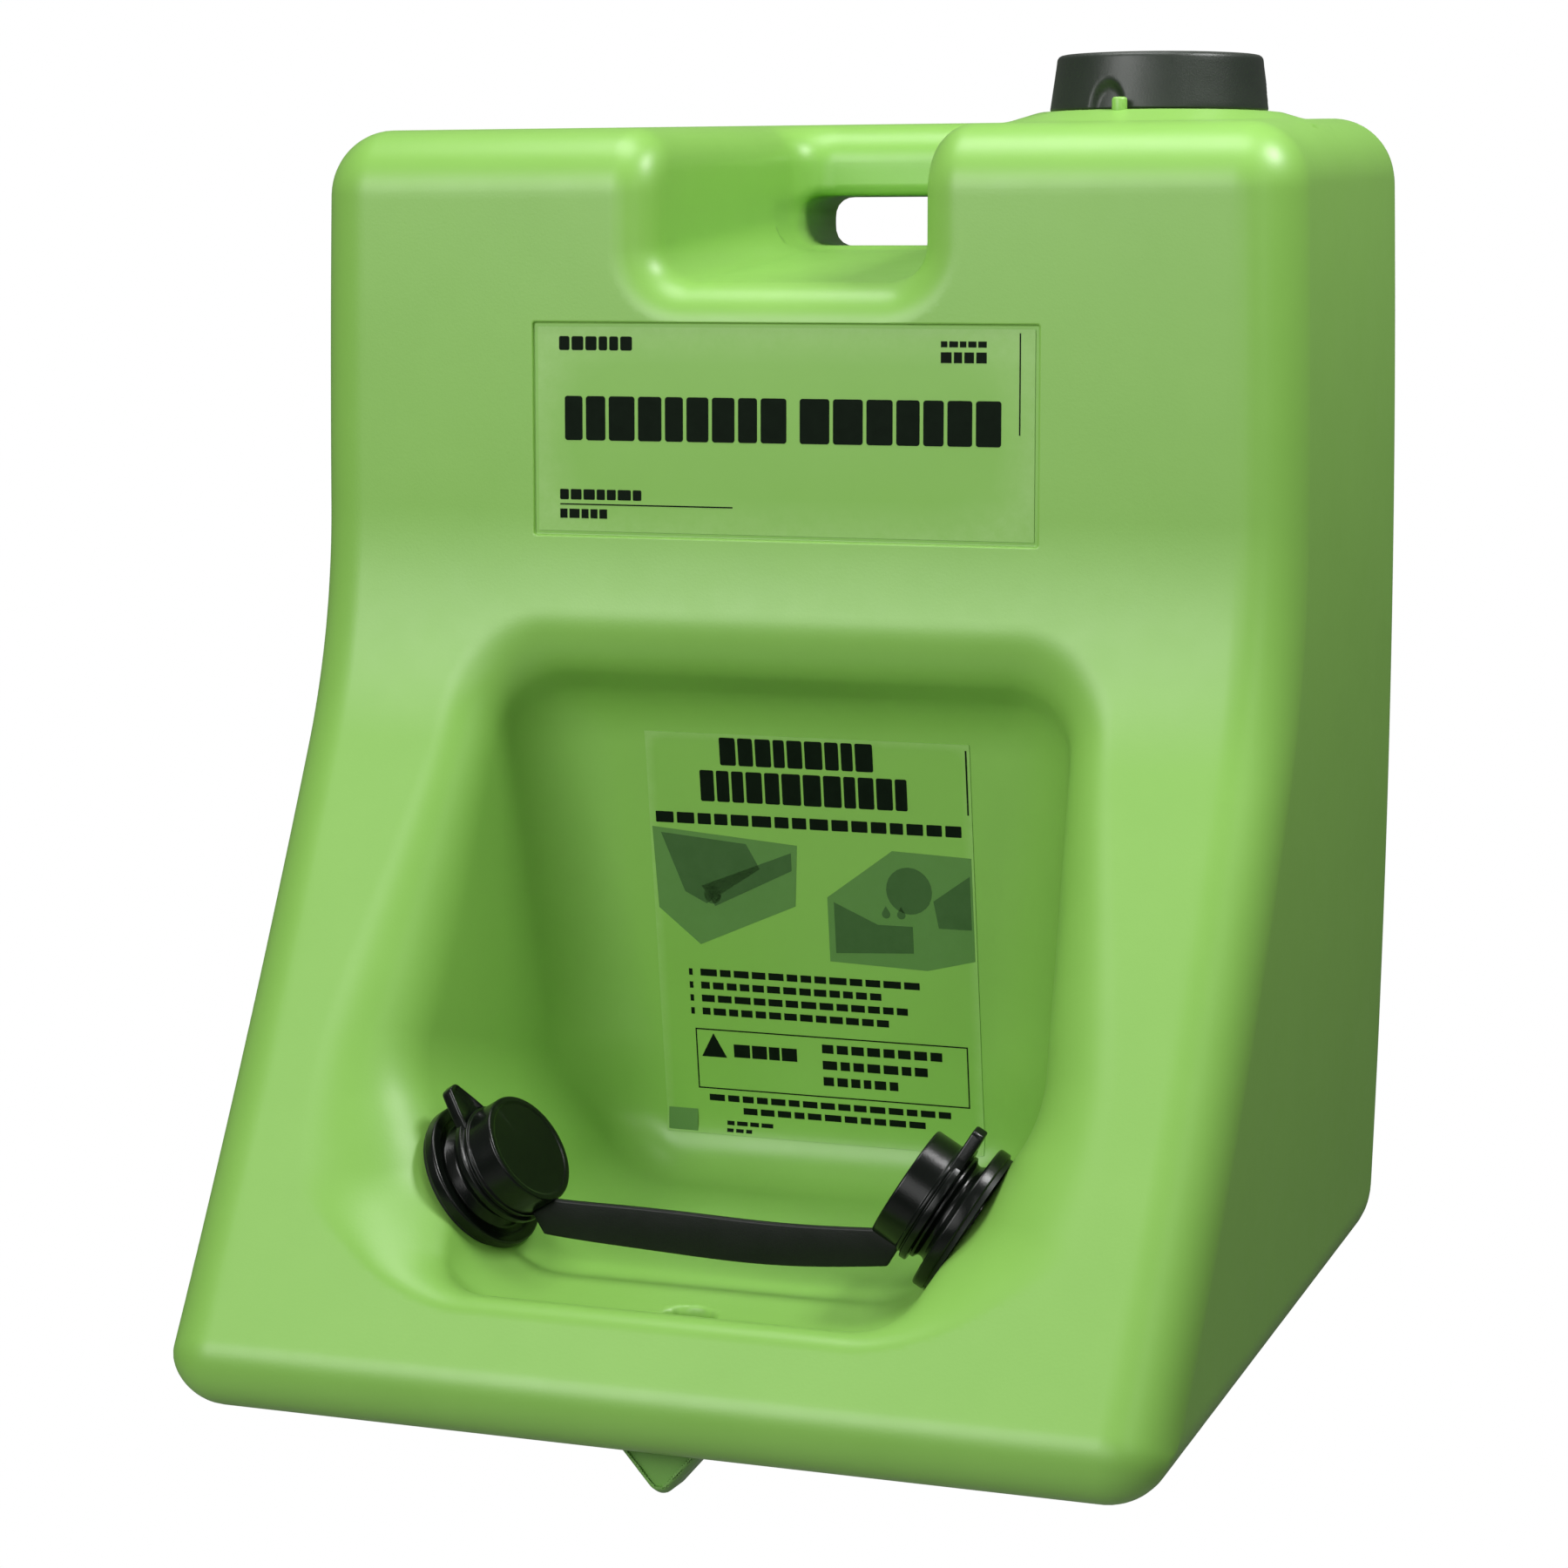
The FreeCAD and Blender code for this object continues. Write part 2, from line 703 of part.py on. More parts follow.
save("drain_strainer", drain_strainer())
save("drip_spout", drip_spout())
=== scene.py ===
import bpy
import bmesh
import math
import numpy as np
from mathutils import Matrix, Vector


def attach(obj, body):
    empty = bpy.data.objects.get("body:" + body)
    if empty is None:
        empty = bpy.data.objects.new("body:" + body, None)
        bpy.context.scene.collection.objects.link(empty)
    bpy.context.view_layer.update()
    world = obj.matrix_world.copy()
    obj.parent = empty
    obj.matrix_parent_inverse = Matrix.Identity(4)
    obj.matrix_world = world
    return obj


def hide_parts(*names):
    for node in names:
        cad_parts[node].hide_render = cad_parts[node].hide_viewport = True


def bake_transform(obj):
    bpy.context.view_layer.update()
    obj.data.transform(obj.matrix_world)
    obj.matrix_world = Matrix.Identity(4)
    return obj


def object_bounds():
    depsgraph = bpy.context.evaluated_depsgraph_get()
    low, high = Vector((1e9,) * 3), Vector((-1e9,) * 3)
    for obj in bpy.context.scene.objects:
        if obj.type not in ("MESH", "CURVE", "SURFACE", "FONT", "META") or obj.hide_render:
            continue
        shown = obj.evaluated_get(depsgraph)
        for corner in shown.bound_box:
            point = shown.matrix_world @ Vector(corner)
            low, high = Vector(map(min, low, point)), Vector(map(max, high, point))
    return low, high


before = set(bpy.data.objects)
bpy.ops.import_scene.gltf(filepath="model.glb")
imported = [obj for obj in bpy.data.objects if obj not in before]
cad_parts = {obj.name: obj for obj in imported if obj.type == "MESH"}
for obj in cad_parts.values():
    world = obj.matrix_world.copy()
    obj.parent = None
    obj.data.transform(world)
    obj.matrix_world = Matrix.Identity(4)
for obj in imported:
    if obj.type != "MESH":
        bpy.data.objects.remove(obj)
cadBox = [list(corner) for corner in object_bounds()]
print("frame loaded")

# Heights below are measured from the tank's lower front edge. The frame's origin is higher up, on the
# upper lip of the bracket pocket.
bracketHeight = 0.402
toFrame = Vector((0, 0, -bracketHeight))


# ---- camera, light and floor

studio = {
    "lens": 92.0,
    "cameraAt": (0.6065, -1.7897, 0.4771),
    "turn": 20.921,
    "tilt": 7.458,
    "floorBelow": 0.75,
    "floorColour": (0.42, 0.42, 0.42, 1),
    "backdrop": 1.0,
    "ambient": 0.15,
}

# each lamp: place, point it looks at, width and height, power
lamps = {
    "keyLight": ((-0.9, -2.4, 0.85), (0, -0.15, -0.15), (1.3, 1.3), 40.0),
    "frontLight": ((0.35, -2.6, 0.35), (0.0, -0.2, -0.1), (0.9, 1.2), 8.0),
    "topLight": ((-0.1, -0.30, 1.15), (-0.05, -0.15, 0.1), (0.9, 0.5), 9.5),
    "sideLight": ((0.75, -0.22, 0.80), (0.2, -0.12, 0.15), (0.3, 0.3), 8.5),
    "glintStrip": ((1.25, -1.35, 0.45), (-0.1, -0.2, -0.25), (0.10, 0.9), 2.0),
}


def addCamera():
    data = bpy.data.cameras.new("camera")
    data.lens = studio["lens"]
    data.sensor_width = 36.0
    data.clip_start = 0.05
    data.clip_end = 60.0
    camera = bpy.data.objects.new("camera", data)
    camera.location = Vector(studio["cameraAt"]) + toFrame
    camera.rotation_euler = (math.radians(90.0 - studio["tilt"]), 0, math.radians(studio["turn"]))
    bpy.context.scene.collection.objects.link(camera)
    bpy.context.scene.camera = camera


def addLamps():
    for name, (place, aim, size, power) in lamps.items():
        data = bpy.data.lights.new(name, "AREA")
        data.shape = "RECTANGLE"
        data.size, data.size_y = size
        data.energy = power
        lamp = bpy.data.objects.new(name, data)
        lamp.location = place
        lamp.visible_camera = False
        lamp.rotation_euler = (Vector(aim) - Vector(place)).to_track_quat("-Z", "Y").to_euler()
        bpy.context.scene.collection.objects.link(lamp)


def addWorld():
    # the backdrop looks white, while the light it gives is softer
    world = bpy.data.worlds.new("studioWorld")
    world.use_nodes = True
    tree = world.node_tree
    seen = tree.nodes.new("ShaderNodeLightPath").outputs["Is Camera Ray"]
    strength = tree.nodes.new("ShaderNodeMapRange")
    strength.inputs["To Min"].default_value = studio["ambient"]
    strength.inputs["To Max"].default_value = studio["backdrop"]
    tree.links.new(seen, strength.inputs["Value"])
    tree.nodes["Background"].inputs["Color"].default_value = (1, 1, 1, 1)
    tree.links.new(strength.outputs["Result"], tree.nodes["Background"].inputs["Strength"])
    bpy.context.scene.world = world
    bpy.context.scene.view_settings.view_transform = "Standard"


def addFloor():
    low = Vector(cadBox[0]).z - studio["floorBelow"]
    mesh = bpy.data.meshes.new("studioFloor")
    mesh.from_pydata([(-40, -40, low), (40, -40, low), (40, 40, low), (-40, 40, low)], [], [(0, 1, 2, 3)])
    floor = bpy.data.objects.new("studioFloor", mesh)
    bpy.context.scene.collection.objects.link(floor)
    material = bpy.data.materials.new("studioFloor")
    material.use_nodes = True
    tree = material.node_tree
    shader = tree.nodes["Principled BSDF"]
    shader.inputs["Base Color"].default_value = studio["floorColour"]
    shader.inputs["Roughness"].default_value = 0.9
    glow = tree.nodes.new("ShaderNodeEmission")
    glow.inputs["Strength"].default_value = studio["backdrop"]
    blend = tree.nodes.new("ShaderNodeMixShader")
    tree.links.new(tree.nodes.new("ShaderNodeLightPath").outputs["Is Camera Ray"], blend.inputs[0])
    tree.links.new(shader.outputs[0], blend.inputs[1])
    tree.links.new(glow.outputs[0], blend.inputs[2])
    tree.links.new(blend.outputs[0], tree.nodes["Material Output"].inputs["Surface"])
    mesh.materials.append(material)


# ---- shader groups shared by the materials

def newGroup(name, inputs, outputs):
    group = bpy.data.node_groups.new(name, "ShaderNodeTree")
    for label, kind, value in inputs:
        socket = group.interface.new_socket(name=label, in_out="INPUT", socket_type=kind)
        socket.default_value = value
    for label, kind in outputs:
        group.interface.new_socket(name=label, in_out="OUTPUT", socket_type=kind)
    start = group.nodes.new("NodeGroupInput")
    end = group.nodes.new("NodeGroupOutput")
    return group, start, end


def maths(tree, operation, a, b=None, c=None):
    node = tree.nodes.new("ShaderNodeMath")
    node.operation = operation
    for socket, value in zip(node.inputs, (a, b, c)):
        if value is None:
            continue
        if isinstance(value, (int, float)):
            socket.default_value = value
        else:
            tree.links.new(value, socket)
    return node.outputs[0]


def noise(tree, coordinates, scale, detail=3.0, rough=0.5):
    node = tree.nodes.new("ShaderNodeTexNoise")
    node.inputs["Detail"].default_value = detail
    node.inputs["Roughness"].default_value = rough
    tree.links.new(coordinates, node.inputs["Vector"])
    if isinstance(scale, (int, float)):
        node.inputs["Scale"].default_value = scale
    else:
        tree.links.new(scale, node.inputs["Scale"])
    return node.outputs["Fac"]


def mouldedSkinGroup():
    # fine orange peel and slow waviness of a moulded plastic face, with a soft cloudiness for its colour
    group, start, end = newGroup(
        "mouldedSkin",
        [("Peel Scale", "NodeSocketFloat", 900.0), ("Wave Scale", "NodeSocketFloat", 9.0)],
        [("Height", "NodeSocketFloat"), ("Cloud", "NodeSocketFloat"), ("Gloss", "NodeSocketFloat")],
    )
    place = group.nodes.new("ShaderNodeTexCoord").outputs["Object"]
    peel = noise(group, place, start.outputs["Peel Scale"], 2.0)
    wave = noise(group, place, start.outputs["Wave Scale"], 2.0)
    cloud = noise(group, place, 26.0, 4.0, 0.6)
    height = maths(group, "MULTIPLY_ADD", wave, 6.0, peel)
    group.links.new(height, end.inputs["Height"])
    group.links.new(cloud, end.inputs["Cloud"])
    group.links.new(noise(group, place, 60.0, 5.0, 0.65), end.inputs["Gloss"])
    return group


def edgeRubGroup():
    # paler, duller plastic along the outer edges, broken up by noise
    group, start, end = newGroup(
        "edgeRub",
        [("Start", "NodeSocketFloat", 0.53), ("Full", "NodeSocketFloat", 0.60)],
        [("Mask", "NodeSocketFloat")],
    )
    point = group.nodes.new("ShaderNodeNewGeometry").outputs["Pointiness"]
    ramp = group.nodes.new("ShaderNodeMapRange")
    group.links.new(point, ramp.inputs["Value"])
    group.links.new(start.outputs["Start"], ramp.inputs["From Min"])
    group.links.new(start.outputs["Full"], ramp.inputs["From Max"])
    place = group.nodes.new("ShaderNodeTexCoord").outputs["Object"]
    broken = maths(group, "MULTIPLY", ramp.outputs["Result"], noise(group, place, 160.0, 5.0, 0.7))
    group.links.new(broken, end.inputs["Mask"])
    return group


def dustGroup():
    # faint settled dust on faces that look up
    group, start, end = newGroup(
        "settledDust",
        [("Amount", "NodeSocketFloat", 0.1)],
        [("Mask", "NodeSocketFloat")],
    )
    split = group.nodes.new("ShaderNodeSeparateXYZ")
    group.links.new(group.nodes.new("ShaderNodeNewGeometry").outputs["Normal"], split.inputs[0])
    up = maths(group, "MAXIMUM", split.outputs["Z"], 0.0)
    place = group.nodes.new("ShaderNodeTexCoord").outputs["Object"]
    speckle = maths(group, "MULTIPLY", maths(group, "POWER", up, 3.0), noise(group, place, 420.0, 5.0, 0.7))
    group.links.new(maths(group, "MULTIPLY", speckle, start.outputs["Amount"]), end.inputs["Mask"])
    return group


finishes = {
    "tankGreen": {"colour": (0.222, 0.462, 0.082), "shade": (0.200, 0.430, 0.070), "rub": (0.40, 0.62, 0.25),
                  "rough": (0.34, 0.44), "peel": 900.0, "wave": 9.0, "bump": 0.05, "dust": 0.04, "ior": 1.5},
    # spout: the tank's own green made darker, as painted shade for the lip that sits in shade under the tank
    "shadedSpoutGreen": {"colour": (0.16, 0.36, 0.07), "shade": (0.13, 0.31, 0.055), "rub": (0.30, 0.5, 0.2),
                   "rough": (0.36, 0.48), "peel": 1100.0, "wave": 30.0,
                   "bump": 0.05, "dust": 0.0, "ior": 1.5},
    "blackPlastic": {"colour": (0.0030, 0.0046, 0.0032), "shade": (0.0020, 0.0030, 0.0022),
                     "rub": (0.020, 0.024, 0.020), "rough": (0.16, 0.30), "peel": 1600.0, "wave": 40.0,
                     "bump": 0.08, "dust": 0.004, "ior": 1.36},
    "blackLid": {"colour": (0.016, 0.023, 0.016), "shade": (0.010, 0.015, 0.010), "rub": (0.07, 0.075, 0.07),
                 "rough": (0.36, 0.50), "peel": 1300.0, "wave": 40.0, "bump": 0.12, "dust": 0.10, "ior": 1.5},
    "blackRubber": {"colour": (0.0050, 0.0080, 0.0050), "shade": (0.0035, 0.0055, 0.0035),
                    "rub": (0.025, 0.028, 0.025), "rough": (0.34, 0.48), "peel": 1800.0, "wave": 50.0,
                    "bump": 0.10, "dust": 0.006, "ior": 1.32},
    "whitePlastic": {"colour": (0.74, 0.74, 0.70), "shade": (0.68, 0.68, 0.64), "rub": (0.8, 0.8, 0.78),
                     "rough": (0.30, 0.42), "peel": 1400.0, "wave": 40.0,
                     "bump": 0.05, "dust": 0.0, "ior": 1.5},
    "labelFilm": {"colour": (0.214, 0.452, 0.078), "shade": (0.198, 0.430, 0.070), "rub": (0.40, 0.62, 0.25),
                  "rough": (0.28, 0.34), "peel": 500.0, "wave": 14.0, "bump": 0.02, "dust": 0.0, "ior": 1.5},
}
inkSurface = {"rough": (0.45, 0.55), "peel": 2500.0, "wave": 60.0, "bump": 0.02, "dust": 0.0, "ior": 1.12}
inks = {
    "blackInk": ((0.0015, 0.0040, 0.0015), (0.0025, 0.0060, 0.0025), (0.01, 0.02, 0.01)),
    "greyInk": ((0.050, 0.120, 0.035), (0.035, 0.090, 0.025), (0.08, 0.16, 0.06)),
    "paleInk": ((0.105, 0.235, 0.060), (0.090, 0.205, 0.050), (0.12, 0.26, 0.08)),
}
for inkName, (inkColour, inkShade, inkRub) in inks.items():
    finishes[inkName] = {"colour": inkColour, "shade": inkShade, "rub": inkRub, **inkSurface}

# shared by every finish: share of the rub mask that shows, colour of dust and depth of the surface's bumps
rubShare = 0.5
dustColour = (0.62, 0.62, 0.58)
bumpDistance = 0.0006


def placeGroup(tree, group, **values):
    node = tree.nodes.new("ShaderNodeGroup")
    node.node_tree = group
    for label, value in values.items():
        node.inputs[label.replace("_", " ")].default_value = value
    return node


def blendColour(tree, mask, first, second):
    node = tree.nodes.new("ShaderNodeMix")
    node.data_type = "RGBA"
    tree.links.new(mask, node.inputs["Factor"])
    for socket, value in ((node.inputs[6], first), (node.inputs[7], second)):
        if isinstance(value, tuple):
            socket.default_value = value + (1,)
        else:
            tree.links.new(value, socket)
    return node.outputs[2]


def makePlastic(name, groups):
    finish = finishes[name]
    material = bpy.data.materials.new(name)
    material.use_nodes = True
    tree = material.node_tree
    shader = tree.nodes["Principled BSDF"]
    skin = placeGroup(tree, groups["skin"], Peel_Scale=finish["peel"], Wave_Scale=finish["wave"])
    rub = placeGroup(tree, groups["rub"])
    dust = placeGroup(tree, groups["dust"], Amount=finish["dust"])
    body = blendColour(tree, skin.outputs["Cloud"], finish["colour"], finish["shade"])
    rubbed = blendColour(tree, maths(tree, "MULTIPLY", rub.outputs["Mask"], rubShare), body, finish["rub"])
    dusty = blendColour(tree, dust.outputs["Mask"], rubbed, dustColour)
    tree.links.new(dusty, shader.inputs["Base Color"])
    spread = tree.nodes.new("ShaderNodeMapRange")
    spread.inputs["To Min"].default_value, spread.inputs["To Max"].default_value = finish["rough"]
    tree.links.new(skin.outputs["Gloss"], spread.inputs["Value"])
    tree.links.new(spread.outputs["Result"], shader.inputs["Roughness"])
    bump = tree.nodes.new("ShaderNodeBump")
    bump.inputs["Strength"].default_value = finish["bump"]
    bump.inputs["Distance"].default_value = bumpDistance
    tree.links.new(skin.outputs["Height"], bump.inputs["Height"])
    tree.links.new(bump.outputs["Normal"], shader.inputs["Normal"])
    shader.inputs["IOR"].default_value = finish["ior"]
    return material


steel = {
    "colour": (0.56, 0.57, 0.58), "shade": (0.46, 0.47, 0.48), "rough": (0.24, 0.42),
    "peel": 2400.0, "wave": 80.0,
}


def makeSteel(groups):
    material = bpy.data.materials.new("brushedSteel")
    material.use_nodes = True
    tree = material.node_tree
    shader = tree.nodes["Principled BSDF"]
    shader.inputs["Metallic"].default_value = 1.0
    skin = placeGroup(tree, groups["skin"], Peel_Scale=steel["peel"], Wave_Scale=steel["wave"])
    colour = blendColour(tree, skin.outputs["Cloud"], steel["colour"], steel["shade"])
    tree.links.new(colour, shader.inputs["Base Color"])
    spread = tree.nodes.new("ShaderNodeMapRange")
    spread.inputs["To Min"].default_value, spread.inputs["To Max"].default_value = steel["rough"]
    tree.links.new(skin.outputs["Gloss"], spread.inputs["Value"])
    tree.links.new(spread.outputs["Result"], shader.inputs["Roughness"])
    return material


# ---- the tank, as a distance field that is turned into a mesh

tank = {
    "halfWidth": 0.2225, "barrelRadius": 7.2, "widestHeight": 0.315,
    "height": 0.5325, "topRise": 0.0073, "bottomRise": 0.032,
    "upperDepth": 0.208, "bendHeight": 0.370, "bendRadius": 0.223, "bendAngle": 26.6, "flareRadius": 2.06,
    "sideRound": 0.0262, "topRound": 0.028, "frontFootRound": 0.020, "backRound": 0.029,
    "cellSize": 0.003, "triangles": 186000,
}
basin = {
    "backY": -0.150, "backLean": 0.141, "floorBack": 0.072,
    "roofBack": 0.283, "roofRise": 0.060, "roofRun": 0.085, "floorFrontY": -0.331, "floorFront": 0.047,
    "sideBase": 0.056, "sideOut": 0.273, "sideUp": 0.060,
    "roofRound": 0.040, "cornerRound": 0.036, "bowlRound": 0.052, "padCornerRound": 0.034,
    "floorRound": 0.026, "rimRound": 0.016, "padRound": 0.060, "bowlFull": 0.095, "bowlGone": 0.160,
    "mouthRound": 0.024, "lipRound": 0.013, "flankRound": 0.040, "lipTop": 0.07, "mouthFrom": 0.15,
    "drainY": -0.316, "drainRadius": 0.012, "drainTop": 0.075, "drainEdge": 0.002,
}
grip = {
    "barDepth": 0.048, "backHalf": 0.050, "frontHalf": 0.0610,
    "ledgeBack": 0.4835, "ledgeFront": 0.466, "slotTop": 0.506, "slotRound": 0.009,
    "cornerRound": 0.016, "edgeRound": 0.018, "slotEdge": 0.0045, "slotReach": 0.075,
}
recess = {
    "halfWidth": 0.114, "bottom": 0.359, "top": 0.4505, "depth": 0.0015,
    "cornerRound": 0.0012, "floorRound": 0.0003, "edge": 0.0005,
}
pocket = {
    "halfWidth": 0.100, "low": 0.380, "high": bracketHeight, "depth": 0.014,
    "cornerRound": 0.003, "edge": 0.002,
}
fill = {
    "x": 0.135, "y": -0.105, "bossTop": 0.5394, "bossLow": 0.072, "bossHigh": 0.052, "bossRise": 0.006,
    "neckRadius": 0.040, "neckTop": 0.557, "neckBore": 0.036, "neckEdge": 0.0012,
    "from": 0.525, "boreFrom": 0.52, "coneLean": 0.958, "coneEdge": 0.004, "bossRoot": 0.012,
    "neckRoot": 0.0015,
}
nozzle = {"x": 0.109, "y": -0.2808, "z": 0.0902, "turn": 7.2, "rise": 32.1, "gasket": 0.002}


def roundMeet(a, b, r, lean=0.0):
    # overlap of two solids, its edge rounded to radius r; lean is the cosine between their outward normals
    a, b = a + r, b + r
    span = 1 - lean * lean
    beyond = (a > lean * b) & (b > lean * a)
    corner = np.sqrt(np.maximum(a * a + b * b - 2 * lean * a * b, 0) / span)
    return np.where(beyond, corner, np.maximum(a, b)) - r


def roundCut(a, b, r, lean=0.0):
    return roundMeet(a, -b, r, lean)


def roundJoin(a, b, r, lean=0.0):
    return -roundMeet(-a, -b, r, lean)


def planeField(x, y, z, normal, point):
    return (x - point[0]) * normal.x + (y - point[1]) * normal.y + (z - point[2]) * normal.z


def nozzleAxis(sign):
    # the way a nozzle sprays: sign is -1 on the left and 1 on the right
    rise = math.radians(nozzle["rise"])
    turn = math.radians(nozzle["turn"])
    flat = math.cos(rise)
    return Vector((-sign * flat * math.cos(turn), -flat * math.sin(turn), math.sin(rise)))


def tankField(x, y, z):
    t = tank
    bend = math.radians(t["bendAngle"])
    bendY = -t["upperDepth"] - t["bendRadius"]
    reach = t["flareRadius"] - t["bendRadius"]
    flareY = bendY - reach * math.cos(bend)
    flareZ = t["bendHeight"] + reach * math.sin(bend)
    toe = -(flareY + math.sqrt(t["flareRadius"] ** 2 - flareZ ** 2))
    angle = np.arctan2(z - t["bendHeight"], y - bendY)
    front = np.where(
        angle > 0, -t["upperDepth"] - y,
        np.where(angle > -bend, t["bendRadius"] - np.hypot(y - bendY, z - t["bendHeight"]),
                 t["flareRadius"] - np.hypot(y - flareY, z - flareZ)))
    bottomSlope = t["bottomRise"] / toe
    bottom = (t["bottomRise"] + bottomSlope * y - z) / math.hypot(1, bottomSlope)
    topSlope = t["topRise"] / t["upperDepth"]
    top = (z - t["height"] - t["topRise"] - topSlope * y) / math.hypot(1, topSlope)
    toeNormal = Vector((0, flareY + toe, flareZ)).normalized()
    lean = toeNormal.dot(Vector((0, bottomSlope, -1)).normalized())
    shape = roundMeet(front, bottom, t["frontFootRound"], lean)
    shape = roundMeet(shape, top, t["topRound"])
    shape = roundMeet(shape, y, t["backRound"])
    bow = t["barrelRadius"]
    barrel = np.hypot(np.abs(x) + bow - t["halfWidth"], z - t["widestHeight"]) - bow
    return roundMeet(shape, barrel, t["sideRound"])


def smoothStep(value, start, end):
    share = np.clip((value - start) / (end - start), 0, 1)
    return share * share * (3 - 2 * share)


def basinField(x, y, z):
    b = basin
    across = np.abs(x)
    fall = (b["floorBack"] - b["floorFront"]) / (b["backY"] - b["floorFrontY"])
    roofY = b["backY"] - b["backLean"] * (b["roofBack"] - b["floorBack"])
    backNormal = Vector((0, 1, b["backLean"])).normalized()
    roofNormal = Vector((0, b["roofRise"], b["roofRun"])).normalized()
    floorNormal = Vector((0, fall, -1)).normalized()
    rimNormal = Vector((0, -1, -1)).normalized()
    sideNormal = Vector((1, b["sideOut"], -b["sideUp"])).normalized()
    padNormal = -nozzleAxis(1)
    back = planeField(0, y, z, backNormal, (0, b["backY"], b["floorBack"]))
    roof = planeField(0, y, z, roofNormal, (0, roofY, b["roofBack"]))
    ground = planeField(0, y, z, floorNormal, (0, b["backY"], b["floorBack"]))
    rim = planeField(0, y, z, rimNormal, (0, b["floorFrontY"], b["floorFront"]))
    side = planeField(across, y, z, sideNormal, (b["sideBase"], 0, 0))
    pad = planeField(across, y, z, padNormal, (nozzle["x"], nozzle["y"], nozzle["z"])) - nozzle["gasket"]
    walls = roundMeet(side, pad, b["padRound"], padNormal.dot(sideNormal))
    space = roundMeet(back, roof, b["roofRound"], backNormal.dot(roofNormal))
    base = roundMeet(ground, rim, b["rimRound"], floorNormal.dot(rimNormal))
    space = roundMeet(space, base, b["floorRound"])
    low = 1 - smoothStep(z, b["bowlFull"], b["bowlGone"])
    padShare = low * smoothStep(pad - side, -0.012, 0.012)
    bowl = b["bowlRound"] + (b["padCornerRound"] - b["bowlRound"]) * padShare
    corner = b["cornerRound"] + (bowl - b["cornerRound"]) * low
    return roundMeet(space, walls, corner, 0.2 + 0.25 * padShare)


def scoopField(x, y, z):
    g = grip
    run = tank["upperDepth"] - g["barDepth"]
    taper = (g["frontHalf"] - g["backHalf"]) / run
    side = (np.abs(x) - g["backHalf"] - taper * (-y - g["barDepth"])) / math.hypot(1, taper)
    fall = (g["ledgeBack"] - g["ledgeFront"]) / run
    ledge = (g["ledgeBack"] + fall * (y + g["barDepth"]) - z) / math.hypot(1, fall)
    space = roundMeet(y + g["barDepth"], side, g["cornerRound"])
    return roundMeet(space, ledge, g["cornerRound"])


def barField(x, z, low, high, r):
    # endless bar along y with rounded edges: low and high are its (x, z) corners
    middle = [(a + b) / 2 for a, b in zip(low, high)]
    half = [(b - a) / 2 for a, b in zip(low, high)]
    return roundMeet(np.abs(x - middle[0]) - half[0], np.abs(z - middle[1]) - half[1], r)


def outerField(x, y, z):
    shape = tankField(x, y, z)
    around = np.hypot(x - fill["x"], y - fill["y"])
    slope = (fill["bossLow"] - fill["bossHigh"]) / fill["bossRise"]
    cone = (around - fill["bossHigh"] - slope * (fill["bossTop"] - z)) / math.hypot(1, slope)
    cone = np.maximum(cone, np.maximum(around - fill["bossLow"], fill["from"] - z))
    boss = roundMeet(cone, z - fill["bossTop"], fill["coneEdge"], fill["coneLean"])
    shape = roundJoin(shape, boss, fill["bossRoot"], 0.95)
    neck = roundMeet(around - fill["neckRadius"], z - fill["neckTop"], fill["neckEdge"])
    shape = roundJoin(shape, np.maximum(neck, fill["from"] - z), fill["neckRoot"])
    shape = roundCut(shape, np.maximum(around - fill["neckBore"], fill["boreFrom"] - z), fill["neckEdge"])
    high = smoothStep(z, basin["lipTop"], basin["mouthFrom"])
    edge = basin["lipRound"] + (basin["mouthRound"] - basin["lipRound"]) * high
    sides = smoothStep(np.abs(x), 0.075, 0.125) * smoothStep(z, 0.05, 0.10) * (1 - smoothStep(z, 0.15, 0.29))
    edge = edge + (basin["flankRound"] - edge) * sides
    shape = roundCut(shape, basinField(x, y, z), edge, 0.4 * high - 0.12)
    shape = roundCut(shape, scoopField(x, y, z), grip["edgeRound"])
    slot = barField(x, z, (-grip["backHalf"], grip["ledgeBack"]), (grip["backHalf"], grip["slotTop"]),
                    grip["slotRound"])
    shape = roundCut(shape, np.maximum(slot, -y - grip["slotReach"]), grip["slotEdge"])
    hook = barField(x, z, (-pocket["halfWidth"], pocket["low"]), (pocket["halfWidth"], pocket["high"]),
                    pocket["cornerRound"])
    shape = roundCut(shape, roundMeet(hook, -y - pocket["depth"], pocket["cornerRound"]), pocket["edge"])
    plate = barField(x, z, (-recess["halfWidth"], recess["bottom"]), (recess["halfWidth"], recess["top"]),
                     recess["cornerRound"])
    floor = y + tank["upperDepth"] - recess["depth"]
    shape = roundCut(shape, roundMeet(plate, floor, recess["floorRound"]), recess["edge"])
    drain = np.hypot(x, y - basin["drainY"]) - basin["drainRadius"]
    return roundCut(shape, np.maximum(drain, z - basin["drainTop"]), basin["drainEdge"])


def gridLine(low, high, step, sharp):
    # even steps, with a close pair of lines on each side of every sharp edge
    line = list(np.arange(low, high + step, step))
    for edge in sharp:
        line = [v for v in line if abs(v - edge) > 0.0016]
        line.extend([edge - 0.0012, edge - 0.0004, edge + 0.0004, edge + 0.0012])
    return np.array(sorted(line))


